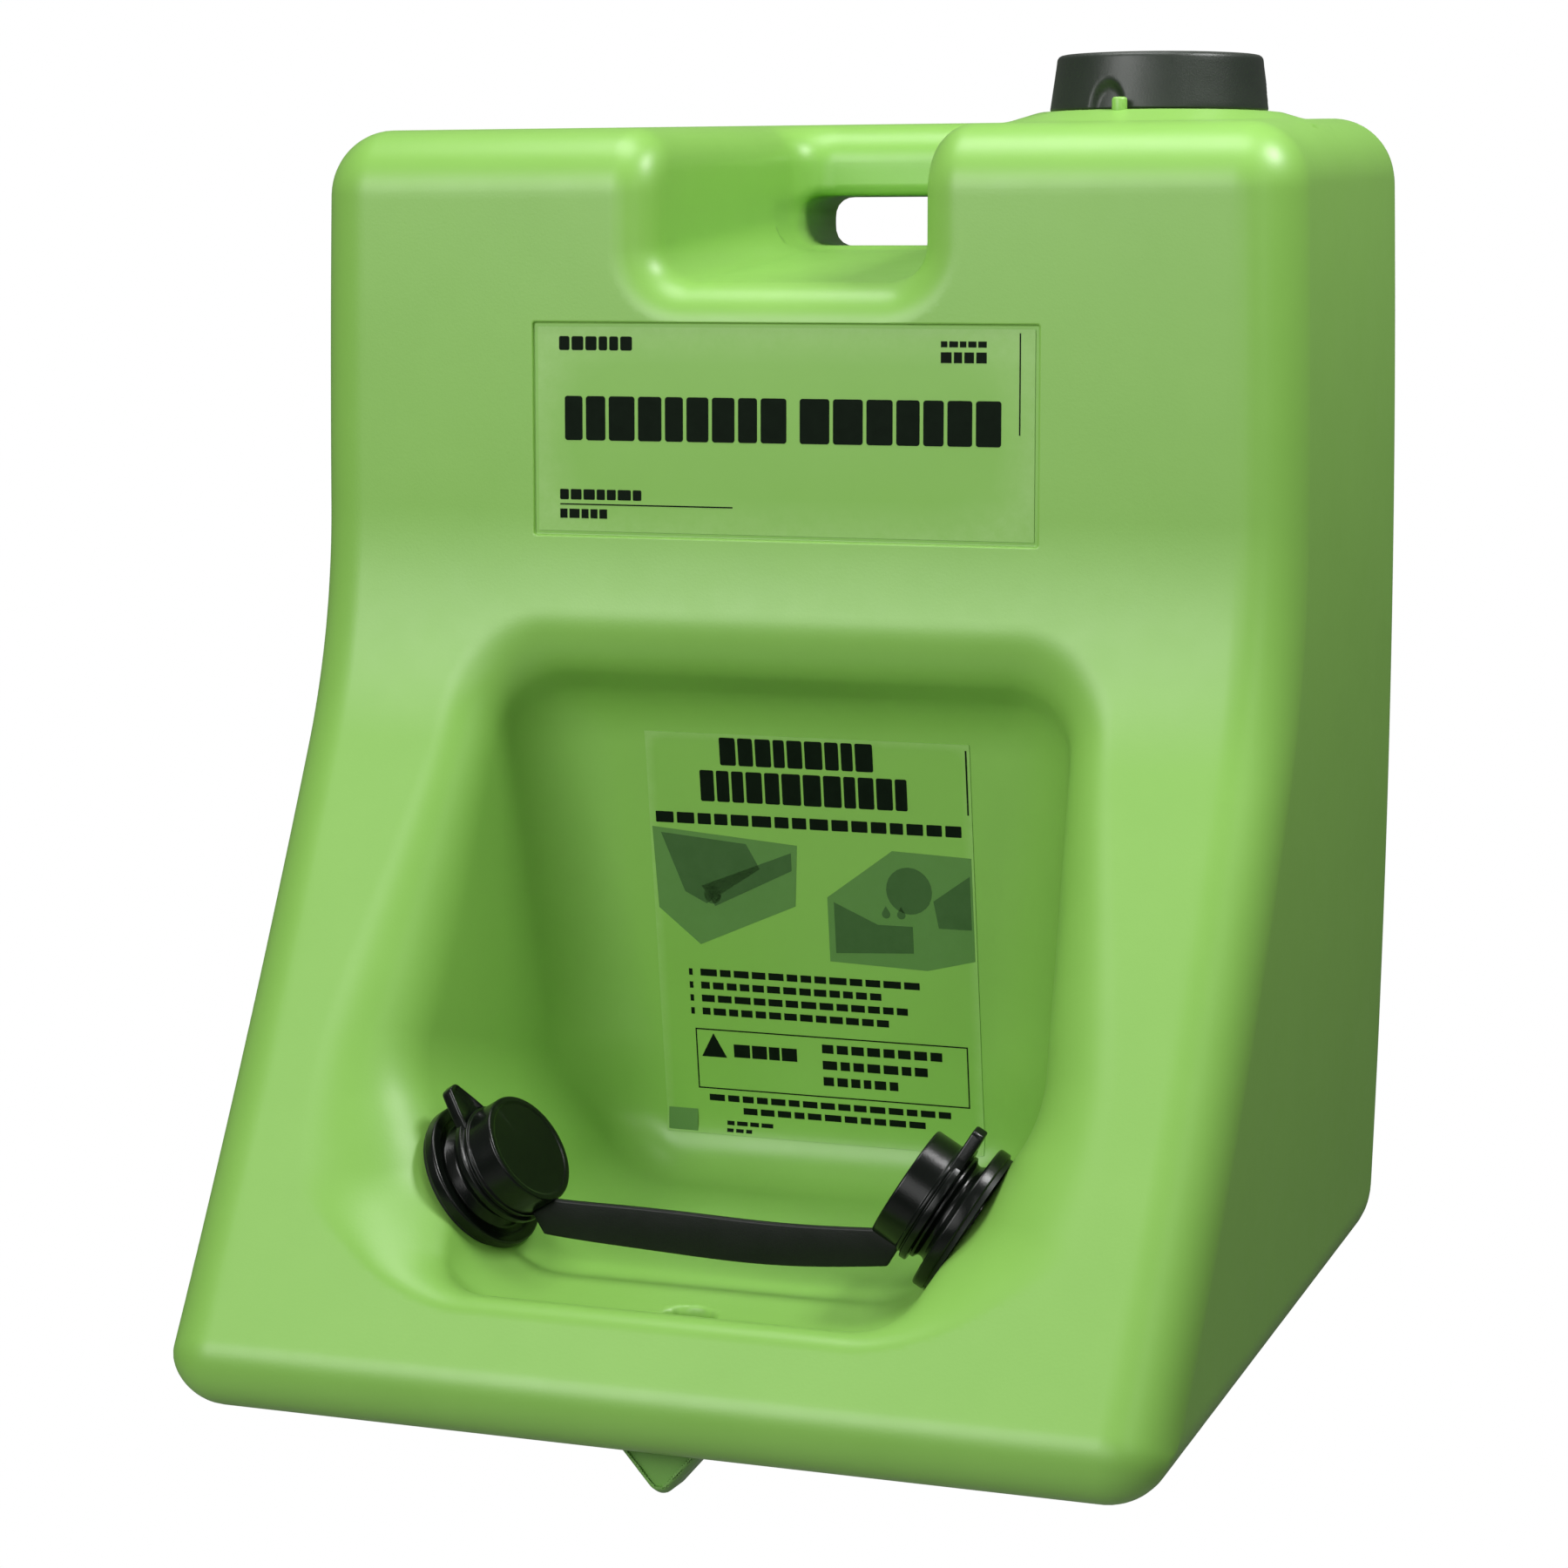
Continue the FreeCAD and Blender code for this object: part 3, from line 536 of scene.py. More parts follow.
def surfaceNet(field, xs, ys, zs):
    # one vertex in each cell that the surface crosses, and a quad round each grid edge that it cuts
    values = np.empty((len(xs), len(ys), len(zs)), np.float32)
    for i, x in enumerate(xs):
        values[i] = field(np.float32(x), ys[:, None].astype(np.float32), zs[None, :].astype(np.float32))
    inside = values < 0
    count = inside[:-1, :-1, :-1].astype(np.int8)
    offsets = [(i, j, k) for i in (0, 1) for j in (0, 1) for k in (0, 1)]
    shape = np.array(values.shape) - 1
    for i, j, k in offsets[1:]:
        count = count + inside[i:i + shape[0], j:j + shape[1], k:k + shape[2]]
    cells = np.argwhere((count > 0) & (count < 8))
    index = -np.ones(tuple(shape), np.int64)
    index[tuple(cells.T)] = np.arange(len(cells))
    total = np.zeros((len(cells), 3))
    hits = np.zeros(len(cells))
    lines = (xs, ys, zs)
    for axis in range(3):
        for start in offsets:
            if start[axis]:
                continue
            a = cells + np.array(start)
            b = a.copy()
            b[:, axis] += 1
            va, vb = values[tuple(a.T)], values[tuple(b.T)]
            cut = (va < 0) != (vb < 0)
            share = np.where(cut, va / np.where(cut, va - vb, 1), 0)
            point = np.stack([lines[n][a[:, n]] for n in range(3)], 1)
            point[:, axis] += share * (lines[axis][b[:, axis]] - lines[axis][a[:, axis]])
            total += point * cut[:, None]
            hits += cut
    points = total / hits[:, None]
    quads = []
    for axis in range(3):
        one, two = (axis + 1) % 3, (axis + 2) % 3
        ahead = np.roll(inside, -1, axis)
        cut = inside != ahead
        keep = [slice(1, -1)] * 3
        keep[axis] = slice(0, -1)
        where = np.argwhere(cut[tuple(keep)])
        where[:, one] += 1
        where[:, two] += 1
        corners = []
        for da, db in ((-1, -1), (0, -1), (0, 0), (-1, 0)):
            cell = where.copy()
            cell[:, one] += da
            cell[:, two] += db
            corners.append(index[tuple(cell.T)])
        quad = np.stack(corners, 1)
        flip = ~inside[tuple(where.T)]
        quad[flip] = quad[flip][:, ::-1]
        quads.append(quad)
    return points, np.concatenate(quads)


def fieldSlope(field, points, reach=0.00025):
    slope = np.empty_like(points)
    for axis in range(3):
        step = np.zeros(3)
        step[axis] = reach
        a, b = points + step, points - step
        slope[:, axis] = (field(a[:, 0], a[:, 1], a[:, 2]) - field(b[:, 0], b[:, 1], b[:, 2])) / (2 * reach)
    return slope


def settle(field, points, rounds=3):
    # moves points onto the surface
    for turn in range(rounds):
        slope = fieldSlope(field, points)
        value = field(points[:, 0], points[:, 1], points[:, 2])
        move = value[:, None] * slope / np.maximum((slope ** 2).sum(1), 0.2)[:, None]
        size = np.linalg.norm(move, axis=1)
        points = points - move * np.minimum(1, 0.0015 / np.maximum(size, 1e-9))[:, None]
    return points


def meshPoints(mesh):
    flat = np.empty(len(mesh.vertices) * 3, np.float32)
    mesh.vertices.foreach_get("co", flat)
    return flat.reshape(-1, 3).astype(float)


def buildTank():
    step = tank["cellSize"]
    xs = gridLine(-0.2307, 0.2307, step, (-recess["halfWidth"], recess["halfWidth"]))
    ys = gridLine(-0.399, 0.009, step, (-tank["upperDepth"] + recess["depth"] / 2,))
    zs = gridLine(-0.003, 0.564, step, (recess["bottom"], recess["top"]))
    points, quads = surfaceNet(outerField, xs, ys, zs)
    points = settle(outerField, points)
    mesh = bpy.data.meshes.new("tankShell")
    mesh.from_pydata(points.tolist(), [], quads.tolist())
    mesh.validate()
    body = bpy.data.objects.new("tankShell", mesh)
    bpy.context.scene.collection.objects.link(body)
    thin = body.modifiers.new("thin", "DECIMATE")
    thin.ratio = min(1.0, tank["triangles"] / (2.0 * len(quads)))
    applyModifiers(body)
    points = settle(outerField, meshPoints(body.data), 2)
    slope = fieldSlope(outerField, points)
    body.data.vertices.foreach_set("co", points.astype(np.float32).ravel())
    for polygon in body.data.polygons:
        polygon.use_smooth = True
    normals = slope / np.maximum(np.linalg.norm(slope, axis=1), 1e-9)[:, None]
    body.data.update()
    body.data.normals_split_custom_set_from_vertices(normals.tolist())
    body.data.transform(Matrix.Translation(toFrame))
    print("tank", len(body.data.polygons), "triangles")
    return body


# ---- mesh helpers

sharpAngle = math.radians(38)


def applyModifiers(piece):
    graph = bpy.context.evaluated_depsgraph_get()
    graph.update()
    done = bpy.data.meshes.new_from_object(piece.evaluated_get(graph))
    old = piece.data
    piece.modifiers.clear()
    piece.data = done
    done.name = piece.name
    bpy.data.meshes.remove(old)


def newPiece(name, points, faces, smooth=True):
    mesh = bpy.data.meshes.new(name)
    mesh.from_pydata([tuple(p) for p in points], [], faces)
    mesh.validate()
    work = bmesh.new()
    work.from_mesh(mesh)
    bmesh.ops.remove_doubles(work, verts=work.verts, dist=1e-7)
    bmesh.ops.recalc_face_normals(work, faces=work.faces)
    work.to_mesh(mesh)
    work.free()
    piece = bpy.data.objects.new(name, mesh)
    bpy.context.scene.collection.objects.link(piece)
    if smooth:
        for polygon in mesh.polygons:
            polygon.use_smooth = True
        mesh.set_sharp_from_angle(angle=sharpAngle)
    return piece


def rounded(corners, steps=4):
    # closed outline from (u, v, radius) corners, with each corner replaced by an arc
    line = []
    count = len(corners)
    for n in range(count):
        u, v, r = corners[n]
        here = Vector((u, v))
        before = Vector(corners[n - 1][:2]) - here
        after = Vector(corners[(n + 1) % count][:2]) - here
        if r <= 0 or before.length < 1e-9 or after.length < 1e-9:
            line.append(here)
            continue
        half = before.angle(after) / 2
        reach = min(r / math.tan(half), 0.49 * before.length, 0.49 * after.length)
        radius = reach * math.tan(half)
        first = here + before.normalized() * reach
        last = here + after.normalized() * reach
        centre = here + (before.normalized() + after.normalized()).normalized() * (radius / math.sin(half))
        for k in range(steps + 1):
            blend = first.lerp(last, k / steps) - centre
            line.append(centre + blend.normalized() * radius)
    return line


def turnedPiece(name, corners, steps, cornerSteps):
    # ring or cup from a closed outline of (radius, height, rounding)
    line = rounded(corners, cornerSteps)
    points, faces = [], []
    for k in range(steps):
        angle = 2 * math.pi * k / steps
        for p in line:
            points.append((max(p.x, 0) * math.cos(angle), max(p.x, 0) * math.sin(angle), p.y))
    size = len(line)
    for k in range(steps):
        for n in range(size):
            a, b = k * size + n, k * size + (n + 1) % size
            c, d = ((k + 1) % steps) * size + (n + 1) % size, ((k + 1) % steps) * size + n
            faces.append((a, b, c, d))
    return newPiece(name, points, faces)


def prism(name, line, low, high, edge=0.0):
    # upright prism of an outline in x and y, with its rims bevelled
    work = bmesh.new()
    ring = [work.verts.new((p.x, p.y, low)) for p in line]
    face = work.faces.new(ring)
    top = bmesh.ops.extrude_face_region(work, geom=[face])
    moved = [v for v in top["geom"] if isinstance(v, bmesh.types.BMVert)]
    bmesh.ops.translate(work, verts=moved, vec=(0, 0, high - low))
    bmesh.ops.recalc_face_normals(work, faces=work.faces)
    if edge > 0:
        rims = [e for e in work.edges if abs(e.verts[0].co.z - e.verts[1].co.z) < 1e-9]
        bmesh.ops.bevel(work, geom=rims, offset=edge, segments=3, affect="EDGES", profile=0.5)
    mesh = bpy.data.meshes.new(name)
    work.to_mesh(mesh)
    work.free()
    piece = bpy.data.objects.new(name, mesh)
    bpy.context.scene.collection.objects.link(piece)
    for polygon in mesh.polygons:
        polygon.use_smooth = True
    mesh.set_sharp_from_angle(angle=sharpAngle)
    return piece


def joinPieces(name, pieces):
    # several meshes as one piece
    work = bmesh.new()
    for piece in pieces:
        part = piece.data.copy()
        part.transform(piece.matrix_world)
        work.from_mesh(part)
        bpy.data.meshes.remove(part)
    mesh = bpy.data.meshes.new(name)
    work.to_mesh(mesh)
    work.free()
    for piece in pieces:
        bpy.data.objects.remove(piece)
    mesh.set_sharp_from_angle(angle=sharpAngle)
    joined = bpy.data.objects.new(name, mesh)
    bpy.context.scene.collection.objects.link(joined)
    return joined


def ontoNozzle(piece, sign):
    axis = nozzleAxis(sign)
    place = Matrix.Translation(Vector((sign * nozzle["x"], nozzle["y"], nozzle["z"])) + toFrame)
    piece.data.transform(place @ Vector((0, 0, 1)).rotation_difference(axis).to_matrix().to_4x4())
    piece.data.update()


def dress(piece, material, slot, body, *nodes):
    piece.data.materials.clear()
    piece.data.materials.append(material)
    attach(piece, body)
    if nodes:
        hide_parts(*nodes)


# ---- nozzles and their caps

spray = {
    "flange": 0.0325, "flangeThick": 0.0052, "neck": 0.024, "collar": 0.0123, "spigot": 0.0214, "end": 0.026,
    "mouth": 0.0189, "bore": 0.011, "tail": 0.0145, "tailEnd": -0.030,
}
plug = {
    "collarRadius": 0.0268, "wall": 0.0244, "socket": 0.0218, "face": 0.0303, "roof": 0.0273,
    "earReach": 0.0398, "earBase": 0.0106, "earTurn": 0.28, "earTip": 0.0034, "earThick": 0.0052,
    "dishBorder": 0.0018, "dishDepth": 0.0014,
}


def buildNozzle(side, sign, materials):
    s = spray
    waist = s["neck"] - 0.0022
    corners = [
        (s["bore"], s["tailEnd"], 0.0005), (s["tail"], s["tailEnd"], 0.0010), (s["tail"], 0, 0.0),
        (s["flange"], 0, 0.0008), (s["flange"], s["flangeThick"], 0.0012),
        (s["flange"] - 0.0044, s["flangeThick"], 0.0009),
        (s["flange"] - 0.0056, s["flangeThick"] - 0.0016, 0.0009),
        (s["neck"] + 0.0004, s["flangeThick"] - 0.0016, 0.0016), (waist, s["flangeThick"] + 0.0022, 0.002),
        (waist, s["collar"] - 0.0030, 0.0018), (s["neck"], s["collar"] - 0.0018, 0.0005),
        (s["neck"], s["collar"] - 0.0004, 0.0004), (s["spigot"], s["collar"] - 0.0004, 0.0003),
        (s["spigot"], s["end"], 0.0009), (s["mouth"], s["end"], 0.0005), (s["mouth"], 0.018, 0.0002),
        (s["bore"], 0.018, 0.0005),
    ]
    piece = turnedPiece("nozzle" + side.title(), corners, 112, 5)
    ontoNozzle(piece, sign)
    dress(piece, materials["blackPlastic"], "black_plastic", "tank", "nozzle_body_" + side)


def buildCap(side, sign, materials):
    c, s = plug, spray
    corners = [
        (0, c["face"] - 0.0004, 0), (c["wall"] - 0.0036, c["face"] - 0.0004, 0.0012),
        (c["wall"] - 0.0026, c["face"], 0.0008), (c["wall"], c["face"], 0.0011),
        (c["wall"], 0.0184, 0.0006),
        (c["wall"] + 0.0011, 0.0178, 0.0005), (c["wall"] + 0.0011, 0.0168, 0.0005),
        (c["wall"] + 0.0003, 0.0160, 0.0004), (c["collarRadius"], 0.0153, 0.0006),
        (c["collarRadius"], s["collar"], 0.0007), (c["socket"], s["collar"], 0.0005),
        (c["socket"], c["roof"], 0.0006), (0, c["roof"], 0),
    ]
    shell = turnedPiece("capShell", corners, 128, 5)
    tab = rounded([
        (c["wall"] - 0.002, -c["earBase"], 0.0), (c["collarRadius"] + 0.002, -c["earBase"] * 0.78, 0.006),
        (c["earReach"], -c["earTip"], 0.0030), (c["earReach"], c["earTip"], 0.0030),
        (c["collarRadius"] + 0.002, c["earBase"] * 0.78, 0.006), (c["wall"] - 0.002, c["earBase"], 0.0),
    ], 6)
    ear = prism("capEar", tab, s["collar"], s["collar"] + c["earThick"], 0.0009)
    work = bmesh.new()
    work.from_mesh(ear.data)
    top = max(work.faces, key=lambda f: f.calc_center_median().z + f.calc_area())
    bmesh.ops.inset_individual(work, faces=[top], thickness=c["dishBorder"])
    bmesh.ops.translate(work, verts=top.verts[:], vec=(0, 0, -c["dishDepth"]))
    work.to_mesh(ear.data)
    work.free()
    up = Vector((0, 0, 1)).rotation_difference(nozzleAxis(sign)).inverted() @ Vector((0, 0, 1))
    ear.data.transform(Matrix.Rotation(math.atan2(up.y, up.x) - sign * c["earTurn"], 4, "Z"))
    piece = joinPieces("cap" + side.title(), [shell, ear])
    for polygon in piece.data.polygons:
        polygon.use_smooth = True
    piece.data.set_sharp_from_angle(angle=sharpAngle)
    ontoNozzle(piece, sign)
    dress(piece, materials["blackPlastic"], "black_plastic", "cap_" + side, "nozzle_cap_" + side)


# ---- pull strap between the caps

strap = {"thickness": 0.0032, "edge": 0.0011, "topMiddle": 0.0846, "bottomMiddle": 0.0662, "stations": 120}


def strapEnd(sign):
    # cap wall's lowest line: face end, collar end, and the way out from the axis
    axis = nozzleAxis(sign)
    down = (Vector((0, 0, -1)) + axis * axis.z).normalized()
    base = Vector((sign * nozzle["x"], nozzle["y"], nozzle["z"])) + down * (plug["wall"] - 0.0004)
    return base + axis * (plug["face"] - 0.0008), base + axis * 0.0172, down


def buildStrap(materials):
    faceEnd, collarEnd, down = strapEnd(1)
    corner = collarEnd + down * 0.0105
    tipX, cornerX, faceX = collarEnd.x, corner.x, faceEnd.x
    depth = (faceEnd.y + collarEnd.y) / 2
    points = []
    half = strap["thickness"] / 2
    ringSize = 0
    for k in range(strap["stations"] + 1):
        x = tipX * math.sin(math.pi * (k / strap["stations"] - 0.5))
        across = abs(x)
        if across < faceX:
            share = across / faceX
            top = strap["topMiddle"] + (faceEnd.z - strap["topMiddle"]) * share ** 3
        else:
            share = (across - faceX) / (tipX - faceX)
            top = faceEnd.z + (collarEnd.z - faceEnd.z) * share
        if across < cornerX:
            low = strap["bottomMiddle"] + (corner.z - strap["bottomMiddle"]) * (across / cornerX) ** 2
        else:
            share = (across - cornerX) / (tipX - cornerX)
            low = corner.z + (collarEnd.z - corner.z) * share
        low = min(low, top - 0.0004)
        lift = 0.0008 * (1 - (across / tipX) ** 2) * (1 if x < 0 else -1) * math.sin(math.pi * across / tipX)
        wide = half * (1 + 0.12 * (across / tipX) ** 4)
        edge = min(strap["edge"], (top - low) * 0.45)
        ring = rounded([(-wide, low + lift, edge), (wide, low + lift, edge), (wide, top + lift, edge),
                        (-wide, top + lift, edge)], 3)
        ringSize = len(ring)
        points.extend([(x, depth + p.x, p.y) for p in ring])
    faces = []
    for k in range(strap["stations"]):
        for n in range(ringSize):
            a, b = k * ringSize + n, k * ringSize + (n + 1) % ringSize
            faces.append((a, b, b + ringSize, a + ringSize))
    last = strap["stations"] * ringSize
    faces.append(tuple(reversed(range(ringSize))))
    faces.append(tuple(range(last, last + ringSize)))
    piece = newPiece("pullStrap", [Vector(p) + toFrame for p in points], faces)
    piece.data.materials.append(materials["blackRubber"])
    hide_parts("pull_strap")
    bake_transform(piece)


# ---- fill cap and neck

lid = {
    "base": 0.5398, "height": 0.024, "baseRadius": 0.047, "topRadius": 0.0436, "bore": 0.0408, "roof": 0.003,
    "scallopWidth": 0.0085, "scallopHeight": 0.012, "scallopDepth": 0.0030, "scallops": 3, "facing": -103.0,
    "vent": 0.0092, "ventHole": 0.0030, "ventDepth": 0.0012,
}


def buildLid(materials):
    d = lid
    top = d["base"] + d["height"]
    slope = (d["baseRadius"] - d["topRadius"]) / d["height"]
    corners = [
        (d["vent"], top, 0.0003), (d["topRadius"] - 0.006, top, 0.002),
        (d["topRadius"] + 0.0002, top - 0.0004, 0.0028),
    ]
    for n in range(1, 12):
        z = top - 0.003 - (d["height"] - 0.004) * n / 12
        corners.append((d["topRadius"] + slope * (top - z), z, 0))
    corners.extend([
        (d["baseRadius"], d["base"], 0.0008), (d["bore"], d["base"], 0.0006),
        (d["bore"], top - d["roof"], 0.0006), (d["ventHole"], top - d["roof"], 0.0002),
        (d["ventHole"], top - d["ventDepth"], 0.0002), (d["vent"], top - d["ventDepth"], 0.0002),
    ])
    piece = turnedPiece("fillCap", corners, 288, 4)
    for vertex in piece.data.vertices:
        radius = math.hypot(vertex.co.x, vertex.co.y)
        if radius < d["bore"] + 0.001:
            continue
        angle = math.atan2(vertex.co.y, vertex.co.x)
        nearest = round(angle / (2 * math.pi / d["scallops"])) * 2 * math.pi / d["scallops"]
        across = (angle - nearest) * radius / d["scallopWidth"]
        rise = (vertex.co.z - d["base"]) / d["scallopHeight"]
        depth = max(0.0, 1 - across ** 2 - max(rise, 0.0) ** 2)
        shrink = 1 - d["scallopDepth"] * min(1.0, depth * 2.2) / radius
        vertex.co.x *= shrink
        vertex.co.y *= shrink
    place = Matrix.Translation(Vector((fill["x"], fill["y"], 0)) + toFrame)
    piece.data.transform(place @ Matrix.Rotation(math.radians(d["facing"]), 4, "Z"))
    piece.data.set_sharp_from_angle(angle=math.radians(50))
    dress(piece, materials["blackLid"], "black_plastic", "fill_lid", "fill_cap")


thread = {
    "turns": 1.5, "steps": 150, "lead": 0.006, "start": 0.0040, "runOut": 14,
    "outline": [(-0.0002, -0.0013), (0.00062, -0.0005), (0.00062, 0.0005), (-0.0002, 0.0013)],
}


def buildNeckThread(materials):
    # one and a half turns of rounded thread on the filling neck
    turns, steps = thread["turns"], thread["steps"]
    points, faces = [], []
    for k in range(steps + 1):
        share = k / steps
        angle = 2 * math.pi * turns * share
        fade = min(1.0, min(share, 1 - share) * thread["runOut"])
        z = fill["bossTop"] + thread["start"] + thread["lead"] * turns * share
        for out, rise in thread["outline"]:
            r = fill["neckRadius"] + out * fade
            points.append((fill["x"] + r * math.cos(angle), fill["y"] + r * math.sin(angle), z + rise * fade))
    for k in range(steps):
        for n in range(4):
            a, b = k * 4 + n, k * 4 + (n + 1) % 4
            faces.append((a, b, b + 4, a + 4))
    faces.extend([(3, 2, 1, 0), tuple(range(steps * 4, steps * 4 + 4))])
    piece = newPiece("neckThread", [Vector(p) + toFrame for p in points], faces)
    dress(piece, materials["tankGreen"], "tank_green", "tank")


lug = {"radius": 0.0032, "aside": 0.003, "gap": 0.0042, "sunk": 0.003, "height": 0.005, "edge": 0.0012}


def buildStopLug(materials):
    lugX = fill["x"] - lug["aside"]
    lugY = fill["y"] - lid["baseRadius"] - lug["gap"]
    line = [Vector((lugX + lug["radius"] * math.cos(a), lugY + lug["radius"] * math.sin(a)))
            for a in np.linspace(0, 2 * math.pi, 28, endpoint=False)]
    seat = fill["bossTop"]
    piece = prism("stopLug", line, seat - lug["sunk"], seat + lug["height"], lug["edge"])
    piece.data.transform(Matrix.Translation(toFrame))
    dress(piece, materials["tankGreen"], "tank_green", "tank")


# ---- drip spout

lip = {
    "half": 0.022, "low": -0.0211, "shoulder": 0.004, "high": 0.012, "front": -0.346, "depth": 0.020,
    "draft": 0.5, "draftLength": 0.005, "tip": 0.006, "edge": 0.0018, "border": 0.0024, "sink": 0.0016,
    "sinkEdge": 0.0007, "root": 0.007, "boreRadius": 0.009, "boreEdge": 0.001, "cellSize": 0.0009,
}


def spoutField(x, y, z):
    # drafted V-shaped lip with a sunk face and a narrow border
    p = lip
    taper = np.maximum(0, p["front"] + p["draftLength"] - y) * p["draft"]
    slope = math.atan2(p["shoulder"] - p["low"], p["half"])
    rise = (z - p["shoulder"]) * math.cos(slope)
    flanks = [(side * x - p["half"] + taper) * math.sin(slope) - rise for side in (-1, 1)]
    vee = roundMeet(flanks[0], flanks[1], p["tip"], math.cos(slope) ** 2 - math.sin(slope) ** 2)
    shape = roundMeet(vee, np.maximum(p["front"] - y, y - p["front"] - p["depth"]), p["edge"])
    sunk = np.maximum(vee + p["border"], y - p["front"] - p["sink"])
    shape = roundCut(shape, sunk, p["sinkEdge"])
    return np.maximum(shape, z - p["high"])


def spoutOnTank(x, y, z):
    # the lip with a soft root where it grows out of the tank's underside
    tankSide = tankField(x, y, z)
    joined = roundJoin(spoutField(x, y, z), tankSide, lip["root"], 0.5)
    joined = roundCut(joined, np.hypot(x, y - basin["drainY"]) - lip["boreRadius"], lip["boreEdge"])
    # a hair inside the joined skin, and as deep as a hair into the tank
    return np.maximum(joined + 0.0004, -tankSide - 0.0003)


def buildSpout(materials):
    step = lip["cellSize"]
    xs = np.arange(-0.039, 0.039, step)
    ys = np.arange(lip["front"] - 0.010, lip["front"] + lip["depth"] + 0.012, step)
    zs = np.arange(-0.0295, 0.014, step)
    points, quads = surfaceNet(spoutOnTank, xs, ys, zs)
    points = settle(spoutOnTank, points)
    piece = newPiece("dripSpout", [Vector(p) + toFrame for p in points], [tuple(q) for q in quads.tolist()])
    # the spout's darker green is painted shade; the lip is moulded in the tank's green
    dress(piece, materials["shadedSpoutGreen"], "spout_green", "tank", "drip_spout")


# ---- labels: films with plain printed marks

frontFilm = {"low": 0.361, "high": 0.4485, "half": 0.112, "thickness": 0.0004}
decal = {"low": 0.088, "high": 0.272, "half": 0.075, "thickness": 0.0004}


def printMarks(name, shapes, place, material, lift=0.0):
    # each shape is an outline in the label's own millimetres; place turns u, v and a height into points
    points, faces = [], []
    for shape in shapes:
        start, count = len(points), len(shape)
        u, v = np.array(shape).T / 1000
        for height in (0.00002, 0.00009):
            points.extend(place(u, v, height + lift))
        faces.append(tuple(range(start, start + count)))
        faces.append(tuple(range(start + count, start + 2 * count)))
        for n in range(count):
            m = (n + 1) % count
            faces.append((start + n, start + m, start + count + m, start + count + n))
    piece = newPiece(name, [Vector(p) + toFrame for p in points], faces, smooth=False)
    dress(piece, material, "label_film", "tank")


def bar(u0, v0, u1, v1, r=0.0):
    if r <= 0:
        return [(u0, v0), (u1, v0), (u1, v1), (u0, v1)]
    return [(p.x, p.y) for p in rounded([(u0, v0, r), (u1, v0, r), (u1, v1, r), (u0, v1, r)], 3)]


def blocks(u0, u1, v0, v1, count, gap, r=0.0, seed=0):
    # a row of plain blocks of uneven width that stands for a line of words
    random = np.random.default_rng(seed)
    widths = random.uniform(0.75, 1.25, count)
    widths = widths / widths.sum() * (u1 - u0 - gap * (count - 1))
    row, u = [], u0
    for width in widths:
        row.append(bar(u, v0, u + width, v1, r))
        u += width + gap
    return row


def onFront(u, v, height):
    y = -tank["upperDepth"] + recess["depth"] - frontFilm["thickness"] - height
    return np.stack([u, np.full_like(u, y), v], 1)


def onDecal(u, v, height):
    # finds the basin's back wall behind each mark, down into its rounded foot
    points = np.stack([u, basin["backY"] - basin["backLean"] * (v - basin["floorBack"]), v], 1)
    for turn in range(8):
        slope = fieldSlope(outerField, points)
        value = outerField(points[:, 0], points[:, 1], points[:, 2])
        points[:, 1] -= np.clip(value / np.minimum(slope[:, 1], -0.3), -0.004, 0.004)
    normal = fieldSlope(outerField, points)
    normal /= np.linalg.norm(normal, axis=1)[:, None]
    return points + normal * (decal["thickness"] + height)


def buildFrontLabel(materials):
    film = buildFilm("frontFilm", frontFilm, onFront, 12, 5)
    dress(film, materials["labelFilm"], "label_film", "tank", "front_label")
    marks = blocks(-99.5, 2.5, 400, 419, 9, 1.6, 1.2, 3)
    marks += blocks(8.5, 97.5, 400, 419, 7, 1.6, 1.2, 5)
    marks += blocks(-102, -68, 438.5, 444.5, 6, 1.0, 0.8, 7)
    marks += blocks(71, 91, 441.0, 443.5, 5, 0.8, 0.0, 8) + blocks(71, 91, 434.5, 439.0, 4, 1.0, 0.0, 9)
    marks += blocks(-102, -64, 374.5, 379.0, 7, 0.9, 0.5, 11)
    marks += blocks(-102, -80, 366.5, 370.5, 5, 0.9, 0.0, 12)
    marks += [bar(-102, 372.2, -22, 372.8), bar(105.2, 405, 105.8, 447)]
    printMarks("frontPrint", marks, onFront, materials["blackInk"])


def buildFilm(name, film, place, columns, rows):
    # thin sheet lying on its wall, closed round its edges
    us, vs = np.meshgrid(np.linspace(-film["half"], film["half"], columns + 1),
                         np.linspace(film["low"], film["high"], rows + 1), indexing="ij")
    points, faces = [], []
    for height in (-film["thickness"] * 0.9, 0.0):
        points.extend(place(us.ravel(), vs.ravel(), height))
    size = (columns + 1) * (rows + 1)

    def at(i, j, layer):
        return layer * size + i * (rows + 1) + j

    around = ((0, 0), (1, 0), (1, 1), (0, 1))
    for i in range(columns):
        for j in range(rows):
            for layer in (0, 1):
                faces.append(tuple(at(i + di, j + dj, layer) for di, dj in around))
    for i in range(columns):
        for j in (0, rows):
            faces.append((at(i, j, 0), at(i + 1, j, 0), at(i + 1, j, 1), at(i, j, 1)))
    for j in range(rows):
        for i in (0, columns):
            faces.append((at(i, j, 0), at(i, j + 1, 0), at(i, j + 1, 1), at(i, j, 1)))
    return newPiece(name, [Vector(p) + toFrame for p in points], faces)


def drop(u, v, size):
    # a falling water drop
    shape = [(u, v + size * 1.5)]
    for k in range(13):
        angle = math.radians(30 - 240 * k / 12)
        shape.append((u + size * math.cos(angle) * 0.8, v + size * math.sin(angle) * 0.8))
    return shape


def disc(u, v, size, count=24):
    return [(u + size * math.cos(2 * math.pi * k / count), v + size * math.sin(2 * math.pi * k / count))
            for k in range(count)]


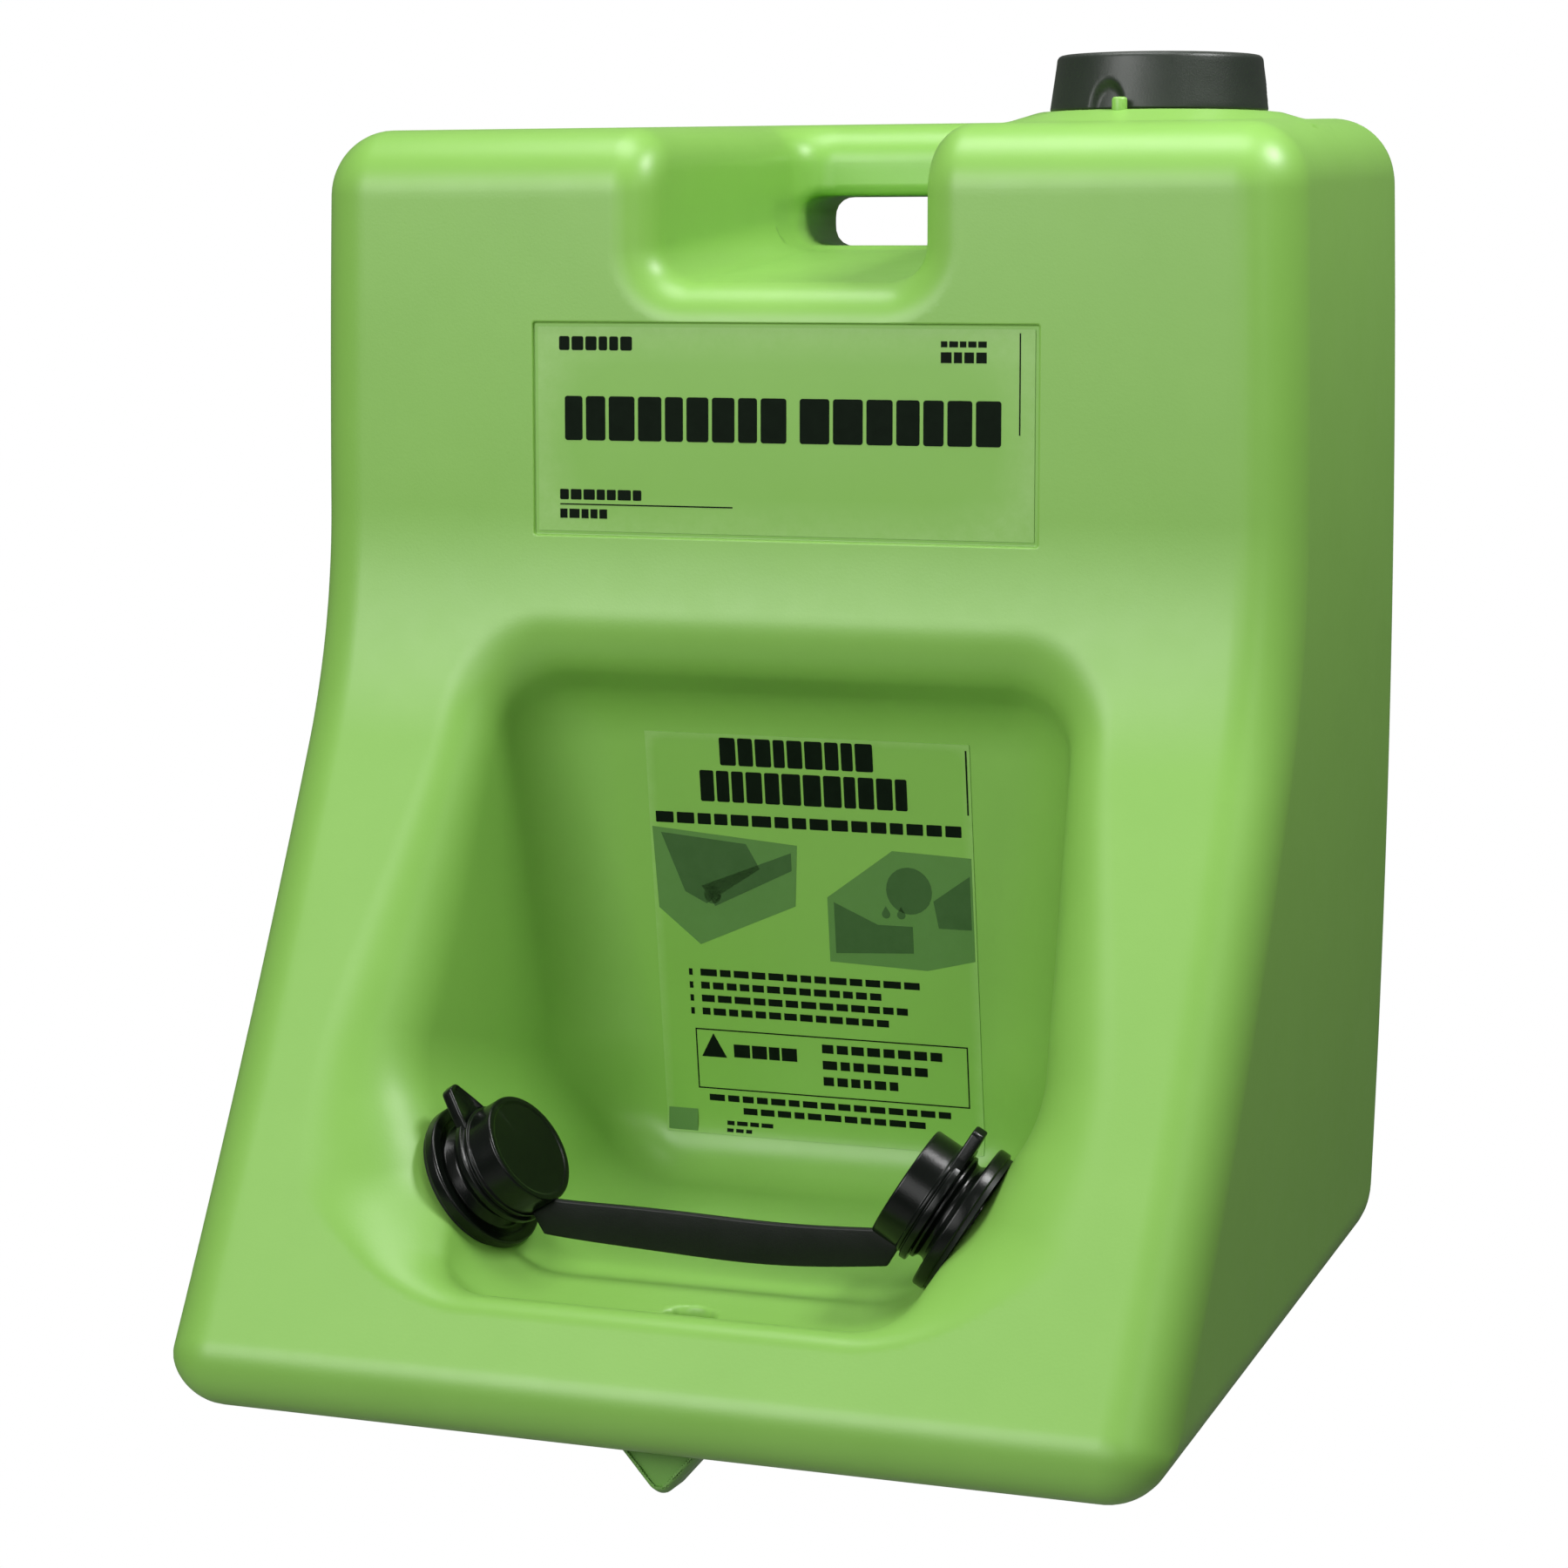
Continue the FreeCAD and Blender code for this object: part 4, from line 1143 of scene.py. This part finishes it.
def buildDecal(materials):
    film = buildFilm("decalFilm", decal, onDecal, 30, 46)
    dress(film, materials["labelFilm"], "label_film", "tank", "instruction_decal")
    marks = blocks(-40, 31, 258, 270.5, 9, 1.2, 0.8, 21) + blocks(-50, 46, 241.5, 255.5, 12, 1.2, 0.8, 22)
    marks += blocks(-72, 70, 231, 236, 16, 1.6, 0.4, 23)
    marks.append(bar(73.0, 241, 73.7, 269.5))
    for row in range(4):
        v = 161.5 - 6.0 * row
        marks.append(bar(-60.5, v, -58.8, v + 3))
        marks += blocks(-55, (48, 30, 42, 33)[row], v, v + 3.2, 13, 1.5, 0.0, 31 + row)
    marks += [bar(-59, 136.4, 69, 137), bar(-59, 109, 69, 109.6)]
    marks += [bar(-59, 109, -58.4, 137), bar(68.4, 109, 69, 137)]
    marks.append([(-56.5, 124), (-44.5, 124), (-50.5, 135)])
    marks += blocks(-41, -11, 124.5, 130.5, 4, 1.0, 0.0, 41)
    for row in range(3):
        v = 129.5 - 7.5 * row
        marks += blocks(1, (57, 50, 36)[row], v, v + 4, 8 - row, 1.6, 0.0, 45 + row)
    marks += blocks(-54, 60, 103.5, 106.5, 15, 1.6, 0.0, 51) + blocks(-38, 48, 98, 101, 11, 1.6, 0.0, 52)
    marks += blocks(-46, -24, 92.5, 94.5, 4, 1.2, 0.0, 53) + blocks(-46, -34, 89.3, 91, 3, 1.2, 0.0, 54)
    printMarks("decalPrint", marks, onDecal, materials["blackInk"])
    # two plain pictures: a basin with a pulled strap, and a disc over two water drops
    pale = [[(-74, 229), (-6, 223.5), (-8, 196), (-54, 176), (-73, 192)],
            [(7, 201), (7, 172), (52, 170.5), (74, 176), (74, 222), (38, 223.5)]]
    printMarks("decalPictures", pale, onDecal, materials["paleInk"])
    dark = [[(-70, 226.5), (-30, 223), (-24, 212), (-50, 195), (-60, 200)],
            [(-52, 203), (-9, 220), (-9, 212), (-46, 194)],
            disc(-47, 199, 4.0), disc(45, 206, 10.5), [(56, 202), (73, 214), (73, 190), (58, 190)],
            [(10, 199), (30, 190), (46, 190), (46, 178), (10, 176)],
            drop(34, 195, 2.4), drop(41, 195, 2.4)]
    printMarks("decalShapes", dark, onDecal, materials["greyInk"], 0.00008)
    printMarks("decalMark", [[(-74, 99), (-60, 99), (-60, 88.8), (-74, 88.8)]], onDecal, materials["paleInk"])


# ---- the CAD pieces that stay

def finishFrame(materials):
    keep = {
        "blackRubber": ["nozzle_gasket_left", "nozzle_gasket_right", "cap_seal_left", "cap_seal_right",
                        "fill_cap_gasket", "vent_valve"],
        "blackPlastic": ["nozzle_locknut_left", "nozzle_locknut_right"],
        "whitePlastic": ["flow_insert_left", "flow_insert_right",
                         "inlet_strainer_left", "inlet_strainer_right"],
        "brushedSteel": ["spray_disc_left", "spray_disc_right", "vent_screen", "drain_strainer"],
    }
    for name, nodes in keep.items():
        for node in nodes:
            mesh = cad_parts[node].data
            mesh.materials.clear()
            mesh.materials.append(materials[name])


def makeMaterials():
    groups = {"skin": mouldedSkinGroup(), "rub": edgeRubGroup(), "dust": dustGroup()}
    materials = {name: makePlastic(name, groups) for name in finishes}
    materials["brushedSteel"] = makeSteel(groups)
    return materials


addCamera()
addLamps()
addWorld()
addFloor()
materials = makeMaterials()
print("studio and materials ready")
tankPiece = buildTank()
dress(tankPiece, materials["tankGreen"], "tank_green", "tank", "tank_shell")
for side, sign in (("left", -1), ("right", 1)):
    buildNozzle(side, sign, materials)
    buildCap(side, sign, materials)
print("nozzles and caps built")
buildStrap(materials)
buildLid(materials)
buildSpout(materials)
buildNeckThread(materials)
buildStopLug(materials)
buildFrontLabel(materials)
buildDecal(materials)
finishFrame(materials)
print("all pieces built")
